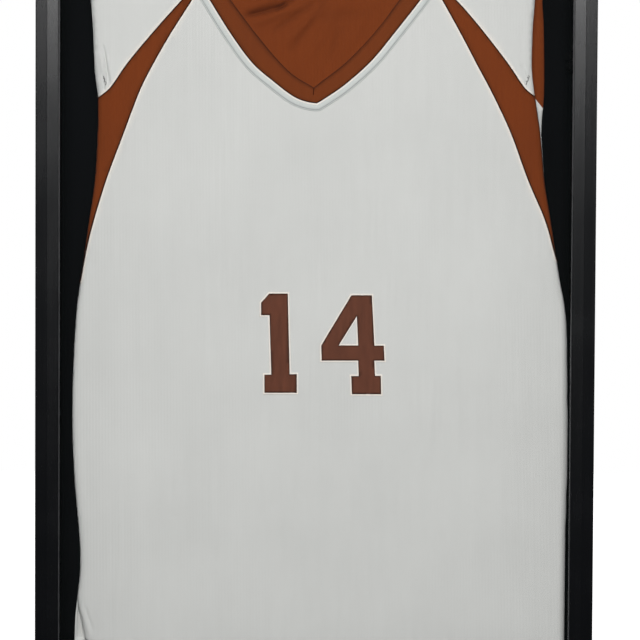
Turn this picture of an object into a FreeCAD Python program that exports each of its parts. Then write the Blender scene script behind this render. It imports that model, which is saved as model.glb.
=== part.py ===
import FreeCAD, Part
import os
import re

import Sketcher

# Wall-hung display frame for a sports jersey: a hinged, glazed door in front of a shallow
# timber case that holds the jersey on a rod.
# Millimetres. +Z is up, the door faces -Y and the wall is the plane y = 0.
# The origin is on the wall plane, behind the centre of the frame.

DIMENSIONS = (
    ("frame_width", 600, "outer width of the door moulding"),
    ("frame_height", 800, "outer height of the door moulding"),
    ("door_front", 54, "wall to the ridge of the moulding"),
    ("door_rear", 39.5, "wall to the rear face of the moulding"),
    ("face_width", 26, "moulding width seen from the front"),
    ("ridge_inset", 12.8, "moulding ridge from the outer edge"),
    ("rabbet_width", 8, "width of the glazing rabbet"),
    ("rabbet_floor", 49, "wall to the rear of the moulding lip"),
    ("case_inset", 8, "case side behind the door's outer edge"),
    ("case_wall", 15, "thickness of the case rails"),
    ("case_front", 38, "wall to the front edge of the case"),
    ("case_rear", 4, "wall to the rear edge of the case"),
    ("panel_rabbet", 5, "width of the back panel's rabbet"),
    ("panel_front", 8, "wall to the front of the back panel"),
    ("panel_thickness", 3, "back panel thickness"),
    ("board_thickness", 5, "backing board thickness"),
    ("lining_thickness", 0.6, "velvet lining thickness"),
    ("slack", 0.5, "clearance round the boards"),
    ("pane_thickness", 2, "acrylic pane thickness"),
    ("strip_depth", 5.5, "depth of the glazing strips"),
    ("strip_width", 6.5, "width of the glazing strips"),
    ("strip_clearance", 0.1, "clearance outside the glazing strips"),
    ("seal_thickness", 0.8, "dust seal thickness"),
    ("seal_width", 2.5, "dust seal width"),
    ("seal_inset", 7, "dust seal from the outside of the case"),
    ("pin_x", 294.5, "hinge pin from the middle of the frame"),
    ("pin_y", 37, "hinge pin from the wall"),
    ("pin_radius", 1, "hinge pin radius"),
    ("pin_clearance", 0.05, "radial clearance in the door knuckle"),
    ("knuckle_radius", 2.2, "hinge knuckle radius"),
    ("leaf_thickness", 1, "hinge leaf thickness"),
    ("leaf_width", 17, "case leaf width from the pin"),
    ("door_leaf_width", 9, "door leaf width from the pin"),
    ("hinge_length", 40, "hinge length"),
    ("knuckle_gap", 0.3, "gap between two knuckles"),
    ("hinge_pitch", 300, "distance between two hinges"),
    ("hinge_screw_z", 12, "hinge screws above and below the middle of the hinge"),
    ("screw_radius", 1.2, "small screw shank radius"),
    ("screw_head", 2.3, "small screw head radius"),
    ("screw_length", 9, "small screw shank length"),
    ("pan_height", 1.3, "pan head height"),
    ("slot_length", 3.4, "screwdriver slot length"),
    ("slot_width", 0.6, "screwdriver slot width"),
    ("slot_depth", 0.5, "screwdriver slot depth"),
    ("fitting_inset", 5, "rear fittings from the outside of the case"),
    ("button_length", 12.5, "turn button length"),
    ("button_width", 8, "turn button width"),
    ("button_thickness", 0.8, "turn button thickness"),
    ("button_overhang", 3.5, "turn button beyond its screw"),
    ("lock_z", 250, "lock height above the middle"),
    ("lock_y", 22, "lock axis from the wall"),
    ("barrel_radius", 5, "lock barrel radius"),
    ("flange_radius", 8, "lock flange radius"),
    ("flange_thickness", 1.6, "lock flange thickness"),
    ("plug_radius", 3.5, "lock plug radius"),
    ("nut_thickness", 3, "lock nut thickness"),
    ("nut_radius", 6.9, "lock nut corner radius"),
    ("cam_length", 16, "cam reach from the lock axis"),
    ("cam_thickness", 1.8, "cam thickness"),
    ("cam_half_width", 3.5, "half of the cam's width"),
    ("tail_radius", 2, "radius of the plug's tail in the cam"),
    ("cam_screw_radius", 3.2, "cam screw head radius"),
    ("cam_screw_height", 1.4, "cam screw head height"),
    ("keeper_width", 8, "keeper width"),
    ("keeper_start", 8, "keeper from the lock axis"),
    ("keeper_sheet", 1, "keeper sheet thickness"),
    ("keeper_gap", 1.6, "keeper web from the inside of the case"),
    ("hook_length", 5, "keeper hook beyond its web"),
    ("keeper_screw_radius", 1, "keeper screw radius"),
    ("keeper_screw_head", 1.7, "keeper screw head radius"),
    ("magnet_radius", 2.8, "magnet radius"),
    ("magnet_inset", 3.7, "magnet axis from the outside of the case"),
    ("magnet_depth", 4, "magnet depth"),
    ("magnet_z", 320, "magnets from the middle"),
    ("strike_thickness", 0.8, "strike plate thickness"),
    ("rod_z", 345, "jersey rod height above the middle"),
    ("rod_y", 22, "jersey rod from the wall"),
    ("rod_radius", 4, "jersey rod radius"),
    ("socket_radius", 7.4, "rod socket radius"),
    ("socket_depth", 4, "rod socket depth"),
    ("bumper_radius", 4.5, "wall bumper radius"),
    ("ring_z", 310, "hanging ring pivot above the middle"),
    ("ring_y", 1.9, "hanging ring pivot from the wall"),
    ("ring_radius", 10, "hanging ring mean radius"),
    ("ring_wire", 0.9, "hanging ring wire radius"),
    ("ring_clearance", 0.08, "radial clearance in the ring's eye"),
    ("eye_radius", 1.75, "outer radius of the ring's eye"),
    ("strap_length", 24, "hanging strap length below the pivot"),
    ("strap_width", 8, "hanging strap width"),
    ("strap_thickness", 0.8, "hanging strap thickness"),
    ("strap_screw", 5, "hanging strap's screw from its lower end"),
    ("cloth", 1.5, "thickness of one layer of the jersey"),
    ("back_layer", 16, "wall to the rear of the jersey's back layer"),
    ("front_layer", 27.2, "wall to the rear of the jersey's front layer"),
    ("trim_thickness", 0.7, "thickness of piping and numerals"),
    ("tack_length", 5, "length of a thread tack"),
    ("tack_width", 0.8, "width of a thread tack"),
    ("tack_rise", 0.6, "thread tack above the cloth"),
)

ALIAS = re.compile(r"\b(" + "|".join(name for name, _, _ in DIMENSIONS) + r")\b")

# Derived lengths, as expressions of the driving dimensions.
HALF_WIDTH = "(frame_width / 2)"
HALF_HEIGHT = "(frame_height / 2)"
CASE_X = "(frame_width / 2 - case_inset)"
CASE_Z = "(frame_height / 2 - case_inset)"
INNER_X = "(frame_width / 2 - case_inset - case_wall)"
INNER_Z = "(frame_height / 2 - case_inset - case_wall)"
BOARD_FRONT = "(panel_front + board_thickness)"
PANE_X = "(frame_width / 2 - face_width + rabbet_width - slack)"
PANE_Z = "(frame_height / 2 - face_width + rabbet_width - slack)"
FITTING_X = "(frame_width / 2 - case_inset - fitting_inset)"
FITTING_Z = "(frame_height / 2 - case_inset - fitting_inset)"
STRIP_X = "(frame_width / 2 - face_width + rabbet_width - strip_clearance)"
STRIP_Z = "(frame_height / 2 - face_width + rabbet_width - strip_clearance)"
STRAP_SCREW_Z = "(ring_z - strap_length + strap_screw)"
BUTTON_HEIGHTS = ("-200", "-20", "200")

AXIS_TURN = {
    "X": FreeCAD.Rotation(FreeCAD.Vector(0, 1, 0), 90),
    "Y": FreeCAD.Rotation(FreeCAD.Vector(1, 0, 0), -90),
    "Z": FreeCAD.Rotation(),
}

doc = FreeCAD.newDocument("jersey_display_frame")
parts = []


def fill_sheet():
    """Write the driving dimensions into the document's spreadsheet."""
    sheet = doc.addObject("Spreadsheet::Sheet", "dims")
    for row, (name, value, meaning) in enumerate(DIMENSIONS, start=1):
        sheet.set(f"A{row}", meaning)
        sheet.set(f"B{row}", str(value))
        sheet.setAlias(f"B{row}", name)
    doc.recompute()
    return sheet


dims = fill_sheet()


def bound(expression):
    """Turn a formula of dimension names into an expression on the spreadsheet."""
    return ALIAS.sub(r"dims.\1", str(expression))


def bind(item, **formulas):
    for name, formula in formulas.items():
        item.setExpression(name, bound(formula))


def place(item, x="0", y="0", z="0", rotation=None):
    """Bind an object's position, and set its rotation."""
    item.Placement = FreeCAD.Placement(FreeCAD.Vector(), rotation or FreeCAD.Rotation())
    item.setExpression("Placement.Base.x", bound(x))
    item.setExpression("Placement.Base.y", bound(y))
    item.setExpression("Placement.Base.z", bound(z))


def part(item, label):
    """Name an object as one of the assembly's sub-parts."""
    item.Label = label
    parts.append(item)
    return item


# ---- Part primitives -----------------------------------------------------------------


def block(x, y, z, length, width, height):
    """A box from its lowest corner and its three sizes."""
    item = doc.addObject("Part::Box", "block")
    bind(item, Length=length, Width=width, Height=height)
    place(item, x, y, z)
    return item


def rod(axis, x, y, z, radius, length):
    """A cylinder that starts at a point and runs along an axis."""
    item = doc.addObject("Part::Cylinder", "rod")
    bind(item, Radius=radius, Height=length)
    place(item, x, y, z, AXIS_TURN[axis])
    return item


def countersink(axis, x, y, z, low_radius, high_radius, length):
    """A cone frustum that starts at a point and runs along an axis."""
    item = doc.addObject("Part::Cone", "countersink")
    bind(item, Radius1=low_radius, Radius2=high_radius, Height=length)
    place(item, x, y, z, AXIS_TURN[axis])
    return item


def fuse(*items):
    item = doc.addObject("Part::MultiFuse", "fuse")
    item.Shapes = list(items)
    item.Refine = True
    return item


def cut(base, tool):
    item = doc.addObject("Part::Cut", "cut")
    item.Base = base
    item.Tool = tool
    return item


def group(items):
    """Several separate solids that are one sub-part."""
    item = doc.addObject("Part::Compound", "group")
    item.Links = list(items)
    return item


# ---- PartDesign bodies ----------------------------------------------------------------


def new_body(label):
    body = doc.addObject("PartDesign::Body", label)
    return part(body, label)


def sketch_on(body, role, offset="0"):
    """An empty sketch on one of the body's origin planes, moved along its normal."""
    sketch = body.newObject("Sketcher::SketchObject", "sketch")
    plane = next(item for item in body.Origin.OriginFeatures if item.Role == role)
    sketch.AttachmentSupport = [(plane, "")]
    sketch.MapMode = "FlatFace"
    sketch.setExpression("AttachmentOffset.Base.z", bound(offset))
    return sketch


def pin_point(sketch, geometry, vertex, point):
    """Bind one sketch point's two coordinates."""
    for kind, formula in zip(("DistanceX", "DistanceY"), point):
        index = sketch.addConstraint(Sketcher.Constraint(kind, -1, 1, geometry, vertex, 1.0))
        sketch.setExpression(f"Constraints[{index}]", bound(formula))


def number(formula):
    """The value of a formula of dimension names."""
    value = dims.evalExpression(bound(formula).replace("dims.", ""))
    return float(getattr(value, "Value", value))


def outline(sketch, points):
    """A closed polygon whose corners are bound to formulas."""
    corners = [FreeCAD.Vector(number(a), number(b), 0) for a, b in points]
    count = len(corners)
    first = sketch.GeometryCount
    for index in range(count):
        line = Part.LineSegment(corners[index], corners[(index + 1) % count])
        sketch.addGeometry(line, False)
    for index in range(count):
        following = first + (index + 1) % count
        sketch.addConstraint(Sketcher.Constraint("Coincident", first + index, 2, following, 1))
    for index, point in enumerate(points):
        pin_point(sketch, first + index, 1, point)


def circle(sketch, point, radius):
    centre = FreeCAD.Vector(number(point[0]), number(point[1]), 0)
    index = sketch.addGeometry(Part.Circle(centre, FreeCAD.Vector(0, 0, 1), number(radius)), False)
    pin_point(sketch, index, 3, point)
    size = sketch.addConstraint(Sketcher.Constraint("Radius", index, number(radius)))
    sketch.setExpression(f"Constraints[{size}]", bound(radius))


def pad(body, sketch, length, symmetric=False):
    feature = body.newObject("PartDesign::Pad", "pad")
    feature.Profile = sketch
    feature.setExpression("Length", bound(length))
    if symmetric:
        feature.SideType = "Symmetric"
    return feature


def pocket_through(body, sketch):
    """Cut a profile right through the body, both ways from its sketch."""
    feature = body.newObject("PartDesign::Pocket", "pocket")
    feature.Profile = sketch
    feature.SideType = "Symmetric"
    feature.Length = 4000
    return feature


def pocket_depth(body, sketch, depth, reverse=False):
    """Cut a profile to a depth, and fail if it removes nothing."""
    doc.recompute()
    before = body.Shape.Volume
    feature = body.newObject("PartDesign::Pocket", "pocket")
    feature.Profile = sketch
    feature.Reversed = reverse
    feature.setExpression("Length", bound(depth))
    doc.recompute()
    if body.Shape.Volume > before - 0.1:
        raise ValueError(f"{body.Label}: a pocket cuts nothing")
    return feature


def plate(label, points, rear, thickness):
    """A flat piece parallel to the wall, from its outline in x and z."""
    body = new_body(label)
    sketch = sketch_on(body, "XZ_Plane", rear)
    outline(sketch, points)
    pad(body, sketch, thickness)
    return body


def rectangle(half_width, half_height):
    return (
        (f"-{half_width}", f"-{half_height}"),
        (half_width, f"-{half_height}"),
        (half_width, half_height),
        (f"-{half_width}", half_height),
    )


# ---- Rails ----------------------------------------------------------------------------

SIDES = {
    "bottom": ("0", "-1", 0),
    "left": ("-1", "0", 90),
    "top": ("0", "1", 180),
    "right": ("1", "0", -90),
}


def mitred_rail(label, side, section, length, width, half_x, half_z):
    """A rail of constant section with 45 degree ends.

    In the body's own axes the rail runs along X, its outer edge is z = 0 and its
    inner edge z = width. The section's first coordinate is y.
    """
    body = new_body(label)
    profile = sketch_on(body, "YZ_Plane")
    outline(profile, section)
    pad(body, profile, length, symmetric=True)
    mitres = sketch_on(body, "XZ_Plane")
    for sign in ("", "-"):
        outer = f"{sign}({length} / 2 + 1)"
        inner = f"{sign}({length} / 2 - {width} - 1)"
        outline(mitres, ((outer, "-1"), (outer, f"{width} + 1"), (inner, f"{width} + 1")))
    pocket_through(body, mitres)
    across, up, angle = SIDES[side]
    turn = FreeCAD.Rotation(FreeCAD.Vector(0, 1, 0), angle)
    place(body, f"{across} * {half_x}", "0", f"{up} * {half_z}", turn)
    return body


CASE_SECTION = (
    ("-case_rear", "0.6"),
    ("-case_rear - 0.6", "0"),
    ("-case_front + 0.6", "0"),
    ("-case_front", "0.6"),
    ("-case_front", "case_wall - 0.4"),
    ("-case_front + 0.4", "case_wall"),
    ("-panel_front", "case_wall"),
    ("-panel_front", "case_wall - panel_rabbet"),
    ("-case_rear", "case_wall - panel_rabbet"),
)

# Shallow crown: the outer band rises to a ridge, the inner band falls to a chamfered lip.
DOOR_SECTION = (
    ("-door_rear", "0.5"),
    ("-door_rear - 0.5", "0"),
    ("-door_front + 2.2", "0"),
    ("-door_front + 1.5", "0.4"),
    ("-door_front + 1.2", "1.1"),
    ("-door_front + 0.1", "ridge_inset - 0.5"),
    ("-door_front", "ridge_inset"),
    ("-door_front + 0.15", "ridge_inset + 0.8"),
    ("-door_front + 0.7", "face_width - 1.9"),
    ("-door_front + 1.0", "face_width - 1.5"),
    ("-door_front + 2.4", "face_width - 0.2"),
    ("-door_front + 2.8", "face_width"),
    ("-rabbet_floor", "face_width"),
    ("-rabbet_floor", "face_width - rabbet_width"),
    ("-door_rear", "face_width - rabbet_width"),
)


def case_rails():
    rails = {}
    for side in SIDES:
        length = f"(2 * {CASE_X})" if side in ("top", "bottom") else f"(2 * {CASE_Z})"
        rails[side] = mitred_rail(
            f"case_rail_{side}", side, CASE_SECTION, length, "case_wall", CASE_X, CASE_Z)
    return rails


def door_rails():
    for side in SIDES:
        length = "frame_width" if side in ("top", "bottom") else "frame_height"
        mitred_rail(
            f"door_rail_{side}", side, DOOR_SECTION, length, "face_width", HALF_WIDTH, HALF_HEIGHT)


def drill_lock_hole(rail):
    """The lock goes through the right rail, along the rail's own Z."""
    hole = sketch_on(rail, "XY_Plane")
    circle(hole, ("lock_z", "-lock_y"), "barrel_radius")
    pocket_through(rail, hole)


def drill_magnet_holes(rail):
    """Two blind holes in the front edge of the right rail."""
    holes = sketch_on(rail, "XZ_Plane", "case_front")
    for sign in ("", "-"):
        circle(holes, (f"{sign}magnet_z", "magnet_inset"), "magnet_radius")
    pocket_depth(rail, holes, "magnet_depth")


def drill_hinge_holes(rail):
    """Pilot holes for the case leaves' screws in the outside of the left rail."""
    holes = sketch_on(rail, "XY_Plane")
    for hinge in HINGES:
        for sign in ("", "-"):
            height = f"{hinge} * hinge_pitch {sign or '+'} hinge_screw_z"
            circle(holes, (height, LEAF_SCREW_Y), "screw_radius")
    pocket_depth(rail, holes, "screw_length + 1", reverse=True)


# ---- Back panel, board and lining -----------------------------------------------------


def back_boards():
    panel_x = f"({INNER_X} + panel_rabbet - slack)"
    panel_z = f"({INNER_Z} + panel_rabbet - slack)"
    plate("back_panel", rectangle(panel_x, panel_z), "panel_front - panel_thickness",
          "panel_thickness")
    board_x = f"({INNER_X} - slack)"
    board_z = f"({INNER_Z} - slack)"
    plate("backing_board", rectangle(board_x, board_z), "panel_front", "board_thickness")
    plate("velvet_lining", rectangle(board_x, board_z), BOARD_FRONT, "lining_thickness")


def bumpers():
    pads = []
    for across in ("-", ""):
        for up in ("-", ""):
            pads.append(rod("Y", f"{across}{FITTING_X}", "-case_rear", f"{up}{FITTING_Z}",
                            "bumper_radius", "case_rear"))
    part(group(pads), "wall_bumpers")


def panel_turn_buttons():
    """Small turn buttons, screwed to the rails' rear edges, keep the back panel in."""
    buttons = []
    screws = []
    for across in ("-", ""):
        outside = "button_overhang" if across == "-" else "button_length - button_overhang"
        for height in BUTTON_HEIGHTS:
            x = f"{across}{FITTING_X}"
            button = block(f"{x} - ({outside})", "-case_rear", f"{height} - button_width / 2",
                           "button_length", "button_thickness", "button_width")
            hole = rod("Y", x, "-case_rear - 1", height, "screw_radius", "button_thickness + 2")
            buttons.append(cut(button, hole))
            screws.append(pan_screw(x, "-case_rear + button_thickness", height))
    part(group(buttons), "turn_buttons")
    part(group(screws), "turn_button_screws")


def pan_screw(x, y, z):
    """A pan-head screw driven forwards from a rear face: its head is behind y."""
    shank = rod("Y", x, f"{y} - screw_length", z, "screw_radius", "screw_length")
    head = rod("Y", x, y, z, "screw_head", "pan_height")
    slot = block(f"{x} - slot_length / 2", f"{y} + pan_height - slot_depth",
                 f"{z} - slot_width / 2", "slot_length", "2 * slot_depth", "slot_width")
    return cut(fuse(shank, head), slot)


# ---- Glazing --------------------------------------------------------------------------


def glazing():
    plate("acrylic_pane", rectangle(PANE_X, PANE_Z), "rabbet_floor - pane_thickness",
          "pane_thickness")
    rear = "rabbet_floor - pane_thickness - strip_depth"
    for side, across in (("left", "-"), ("right", "")):
        outer = f"{across}{STRIP_X}"
        inner = f"{across}({STRIP_X} - strip_width)"
        points = ((outer, f"-{STRIP_Z}"), (inner, f"-{STRIP_Z}"), (inner, STRIP_Z), (outer, STRIP_Z))
        plate(f"glazing_strip_{side}", points, rear, "strip_depth")
    for side, up in (("bottom", "-"), ("top", "")):
        reach = f"({STRIP_X} - strip_width - 2 * strip_clearance)"
        outer = f"{up}{STRIP_Z}"
        inner = f"{up}({STRIP_Z} - strip_width)"
        points = ((f"-{reach}", outer), (reach, outer), (reach, inner), (f"-{reach}", inner))
        plate(f"glazing_strip_{side}", points, rear, "strip_depth")


def dust_seals():
    """Foam strips on the case's front edge; the right one stops at the keeper and magnets."""
    front = "-case_front - seal_thickness"
    reach_x = f"({CASE_X} - seal_inset)"
    reach_z = f"({CASE_Z} - seal_inset)"
    seals = []
    for low in (f"-{reach_z}", f"{reach_z} - seal_width"):
        seals.append(block(f"-{reach_x}", front, low, f"2 * {reach_x}", "seal_thickness",
                           "seal_width"))
    inner = f"({reach_z} - seal_width - 0.2)"
    seals.append(block(f"-{reach_x}", front, f"-{inner}", "seal_width", "seal_thickness",
                       f"2 * {inner}"))
    right = f"{reach_x} - seal_width"
    keeper_low = "lock_z + keeper_start - 2"
    keeper_high = "lock_z + keeper_start + keeper_width + 2"
    seals.append(block(right, front, f"-{inner}", "seal_width", "seal_thickness",
                       f"{inner} + {keeper_low}"))
    seals.append(block(right, front, keeper_high, "seal_width", "seal_thickness",
                       f"{inner} - ({keeper_high})"))
    part(group(seals), "dust_seals")


# ---- Hinges ---------------------------------------------------------------------------

HINGES = ("-1", "0", "1")
LEAF_SCREW_Y = "(-pin_y + leaf_width - 4.5)"
DOOR_SCREW_X = "(-pin_x + door_leaf_width - 3.2)"
KNUCKLE = "(hinge_length / 3)"


def knuckle(x, y, z, length, bore):
    barrel = rod("Z", x, y, z, "knuckle_radius", length)
    return barrel, rod("Z", x, y, f"{z} - 1", bore, f"{length} + 2")


def case_leaf(centre):
    """The leaf on the case's side, with the two outer knuckles."""
    low = f"({centre} - hinge_length / 2)"
    leaf = block(f"-{CASE_X} - leaf_thickness", "-pin_y", low,
                 "leaf_thickness", "leaf_width", "hinge_length")
    relief = rod("Z", "-pin_x", "-pin_y", f"{centre} - {KNUCKLE} / 2 - knuckle_gap / 2",
                 "knuckle_radius + 0.4", f"{KNUCKLE} + knuckle_gap")
    leaf = cut(leaf, relief)
    end = f"({KNUCKLE} - knuckle_gap / 2)"
    barrels = []
    for base in (low, f"({centre} + hinge_length / 2 - {end})"):
        barrel, _ = knuckle("-pin_x", "-pin_y", base, end, "pin_radius")
        barrels.append(barrel)
    bore = rod("Z", "-pin_x", "-pin_y", f"{low} - 1", "pin_radius", "hinge_length + 2")
    solid = cut(fuse(leaf, *barrels), bore)
    for sign in ("-", "+"):
        z = f"{centre} {sign} hinge_screw_z"
        solid = cut(solid, countersink("X", f"-{CASE_X} - leaf_thickness", LEAF_SCREW_Y, z,
                                       "screw_head", "screw_radius", "leaf_thickness"))
    return solid


def door_leaf(centre):
    """The leaf behind the door moulding, with the middle knuckle."""
    low = f"({centre} - hinge_length / 2)"
    leaf = block("-pin_x", "-door_rear", low, "door_leaf_width", "leaf_thickness", "hinge_length")
    barrel, bore = knuckle("-pin_x", "-pin_y", f"{centre} - {KNUCKLE} / 2 + knuckle_gap / 2",
                           f"{KNUCKLE} - knuckle_gap", "pin_radius + pin_clearance")
    clear = []
    end = f"({KNUCKLE} + 0.1)"
    for base in (f"{low} - 0.1", f"{centre} + hinge_length / 2 - {end} + 0.1"):
        clear.append(rod("Z", "-pin_x", "-pin_y", base, "knuckle_radius + 0.35", end))
    solid = cut(fuse(cut(leaf, fuse(*clear)), barrel), bore)
    for sign in ("-", "+"):
        z = f"{centre} {sign} hinge_screw_z"
        solid = cut(solid, countersink("Y", DOOR_SCREW_X, "-door_rear", z, "screw_radius",
                                       "screw_head * 0.8", "leaf_thickness"))
    return solid


def hinge_parts():
    """Three butt hinges; the pin is tight in the case leaf and free in the door leaf."""
    case_leaves = []
    door_leaves = []
    pins = []
    case_screws = []
    door_screws = []
    for hinge in HINGES:
        centre = f"({hinge} * hinge_pitch)"
        case_leaves.append(case_leaf(centre))
        door_leaves.append(door_leaf(centre))
        pins.append(rod("Z", "-pin_x", "-pin_y", f"{centre} - hinge_length / 2", "pin_radius",
                        "hinge_length"))
        for sign in ("-", "+"):
            z = f"{centre} {sign} hinge_screw_z"
            case_screws.append(side_screw(z))
            door_screws.append(countersink("Y", DOOR_SCREW_X, "-door_rear", z, "screw_radius",
                                           "screw_head * 0.8", "leaf_thickness"))
    part(group(case_leaves), "hinge_case_leaves")
    part(group(door_leaves), "hinge_door_leaves")
    part(group(pins), "hinge_pins")
    part(group(case_screws), "hinge_case_screws")
    part(group(door_screws), "hinge_door_screws")


def side_screw(z):
    """A countersunk screw in the outside of the left rail."""
    head = countersink("X", f"-{CASE_X} - leaf_thickness", LEAF_SCREW_Y, z, "screw_head",
                       "screw_radius", "leaf_thickness")
    shank = rod("X", f"-{CASE_X} - 0.1", LEAF_SCREW_Y, z, "screw_radius", "screw_length")
    return fuse(head, shank)


# ---- Lock -----------------------------------------------------------------------------

NUT_X = f"({INNER_X} - nut_thickness)"
CAM_X = f"({NUT_X} - 0.8 - cam_thickness)"


def hexagon(axis_x, radius, thickness):
    prism = doc.addObject("Part::Prism", "hexagon")
    prism.Polygon = 6
    bind(prism, Circumradius=radius, Height=thickness)
    place(prism, axis_x, "-lock_y", "lock_z", AXIS_TURN["X"])
    return prism


def lock_parts():
    """A cam lock through the right rail; the keyed plug turns the cam behind the keeper."""
    flange = rod("X", CASE_X, "-lock_y", "lock_z", "flange_radius", "flange_thickness")
    barrel = rod("X", NUT_X, "-lock_y", "lock_z", "barrel_radius", f"{CASE_X} - {NUT_X} + 0.5")
    bore = rod("X", f"{NUT_X} - 1", "-lock_y", "lock_z", "plug_radius + 0.05", "case_wall + 8")
    part(cut(fuse(flange, barrel), bore), "lock_barrel")
    nut_hole = rod("X", f"{NUT_X} - 1", "-lock_y", "lock_z", "barrel_radius", "nut_thickness + 2")
    part(cut(hexagon(NUT_X, "nut_radius", "nut_thickness"), nut_hole), "lock_nut")
    plug_length = f"{CASE_X} + flange_thickness + 0.4 - ({CAM_X} + cam_thickness)"
    plug = rod("X", f"{CAM_X} + cam_thickness", "-lock_y", "lock_z", "plug_radius", plug_length)
    tail = rod("X", CAM_X, "-lock_y", "lock_z", "tail_radius", "cam_thickness + 1")
    face = f"{CASE_X} + flange_thickness - 2.6"
    keyway = block(face, "-lock_y - 0.5", "lock_z - 2.2", "4", "1", "4.4")
    part(cut(fuse(plug, tail), keyway), "lock_plug")
    hub = rod("X", CAM_X, "-lock_y", "lock_z", "barrel_radius", "cam_thickness")
    arm = block(CAM_X, "-lock_y - cam_length", "lock_z - cam_half_width", "cam_thickness",
                "cam_length", "2 * cam_half_width")
    eye = rod("X", f"{CAM_X} - 1", "-lock_y", "lock_z", "tail_radius", "cam_thickness + 2")
    part(cut(fuse(hub, arm), eye), "lock_cam")
    head_x = f"({CAM_X} - cam_screw_height)"
    screw = rod("X", head_x, "-lock_y", "lock_z", "cam_screw_radius", "cam_screw_height")
    slot = block(f"{head_x} - slot_depth", "-lock_y - cam_screw_radius - 1",
                 "lock_z - slot_width / 2", "2 * slot_depth", "2 * cam_screw_radius + 2",
                 "slot_width")
    part(cut(screw, slot), "cam_screw")


def keeper_parts():
    """A folded bracket on the door: foot in the gap, web into the case, hook behind the cam."""
    low = "(lock_z + keeper_start)"
    web_x = f"({INNER_X} - keeper_gap - keeper_sheet)"
    hook_y = "(lock_y - cam_half_width - 2)"
    foot = block(web_x, "-door_rear", low, f"{CASE_X} - 2 - {web_x}", "keeper_sheet",
                 "keeper_width")
    web = block(web_x, "-door_rear", low, "keeper_sheet", f"door_rear - {hook_y}", "keeper_width")
    hook = block(f"{web_x} - hook_length", f"-{hook_y} - keeper_sheet", low,
                 "hook_length + keeper_sheet", "keeper_sheet", "keeper_width")
    solid = fuse(foot, web, hook)
    screws = []
    for along in ("2.9", "6.6"):
        x = f"{HALF_WIDTH} - face_width + rabbet_width + {along}"
        z = f"{low} + keeper_width / 2"
        seat, screw = (countersink("Y", x, "-door_rear", z, "keeper_screw_radius",
                                   "keeper_screw_head", "keeper_sheet") for _ in range(2))
        solid = cut(solid, seat)
        screws.append(screw)
    part(solid, "lock_keeper")
    part(group(screws), "keeper_screws")


def catches():
    """Magnets in the case's front edge and steel strikes on the back of the door."""
    magnets = []
    strikes = []
    for sign in ("-", ""):
        x = f"{CASE_X} - magnet_inset"
        magnets.append(rod("Y", x, "-case_front", f"{sign}magnet_z", "magnet_radius",
                           "magnet_depth"))
        strikes.append(rod("Y", x, "-door_rear", f"{sign}magnet_z", "magnet_radius",
                           "strike_thickness"))
    part(group(magnets), "catch_magnets")
    part(group(strikes), "catch_strikes")


# ---- Rod for the jersey ---------------------------------------------------------------


def jersey_rod():
    part(rod("X", f"-({INNER_X} - 1)", "-rod_y", "rod_z", "rod_radius", f"2 * ({INNER_X} - 1)"),
         "hanging_rod")
    sockets = []
    for low in (f"-{INNER_X}", f"{INNER_X} - socket_depth"):
        cup = rod("X", low, "-rod_y", "rod_z", "socket_radius", "socket_depth")
        hole_low = f"-{INNER_X} + 1" if low.startswith("-") else f"{INNER_X} - socket_depth - 1"
        hole = rod("X", hole_low, "-rod_y", "rod_z", "rod_radius", "socket_depth")
        sockets.append(cut(cup, hole))
    part(group(sockets), "rod_sockets")


# ---- Hanging rings --------------------------------------------------------------------


def hanging_ring(label, x):
    """A D-shaped wire ring that hangs below its pivot bar."""
    bar = rod("X", f"{x} - ring_radius", "-ring_y", "ring_z", "ring_wire", "2 * ring_radius")
    arc = doc.addObject("Part::Torus", "arc")
    bind(arc, Radius1="ring_radius", Radius2="ring_wire")
    arc.Angle3 = 180
    place(arc, x, "-ring_y", "ring_z", FreeCAD.Rotation(FreeCAD.Vector(1, 0, 0), -90))
    ends = []
    for sign in ("-", "+"):
        ball = doc.addObject("Part::Sphere", "end")
        bind(ball, Radius="ring_wire")
        place(ball, f"{x} {sign} ring_radius", "-ring_y", "ring_z")
        ends.append(ball)
    part(fuse(bar, arc, *ends), label)


def hanging_strap(x):
    """A strap screwed to the rail below the pivot, with an eye for the ring's bar."""
    leg = block(f"{x} - strap_width / 2", "-case_rear", "ring_z - strap_length", "strap_width",
                "strap_thickness", "strap_length")
    eye = rod("X", f"{x} - strap_width / 2", "-ring_y", "ring_z", "eye_radius", "strap_width")
    neck = block(f"{x} - strap_width / 2", "-case_rear", "ring_z - 1", "strap_width",
                 "case_rear - ring_y - 1.2", "2")
    bore = rod("X", f"{x} - strap_width", "-ring_y", "ring_z", "ring_wire + ring_clearance",
               "2 * strap_width")
    hole = rod("Y", x, "-case_rear - 1", STRAP_SCREW_Z, "screw_radius", "strap_thickness + 2")
    return cut(cut(fuse(leg, neck, eye), bore), hole)


def hanging_parts():
    straps = []
    screws = []
    for side, sign in (("left", "-"), ("right", "")):
        x = f"{sign}{FITTING_X}"
        straps.append(hanging_strap(x))
        screws.append(pan_screw(x, "-case_rear + strap_thickness", STRAP_SCREW_Z))
        hanging_ring(f"hanging_ring_{side}", x)
    part(group(straps), "hanging_straps")
    part(group(screws), "hanging_strap_screws")


def drill_rear_holes(rail, turn):
    """Pilot holes for the strap and turn button screws in a side rail's rear edge."""
    holes = sketch_on(rail, "XZ_Plane", "case_rear")
    for height in BUTTON_HEIGHTS + (STRAP_SCREW_Z,):
        circle(holes, (f"{turn} * {height}", "fitting_inset"), "screw_radius")
    pocket_depth(rail, holes, "screw_length - 0.5", reverse=True)


# ---- Jersey ---------------------------------------------------------------------------

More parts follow.
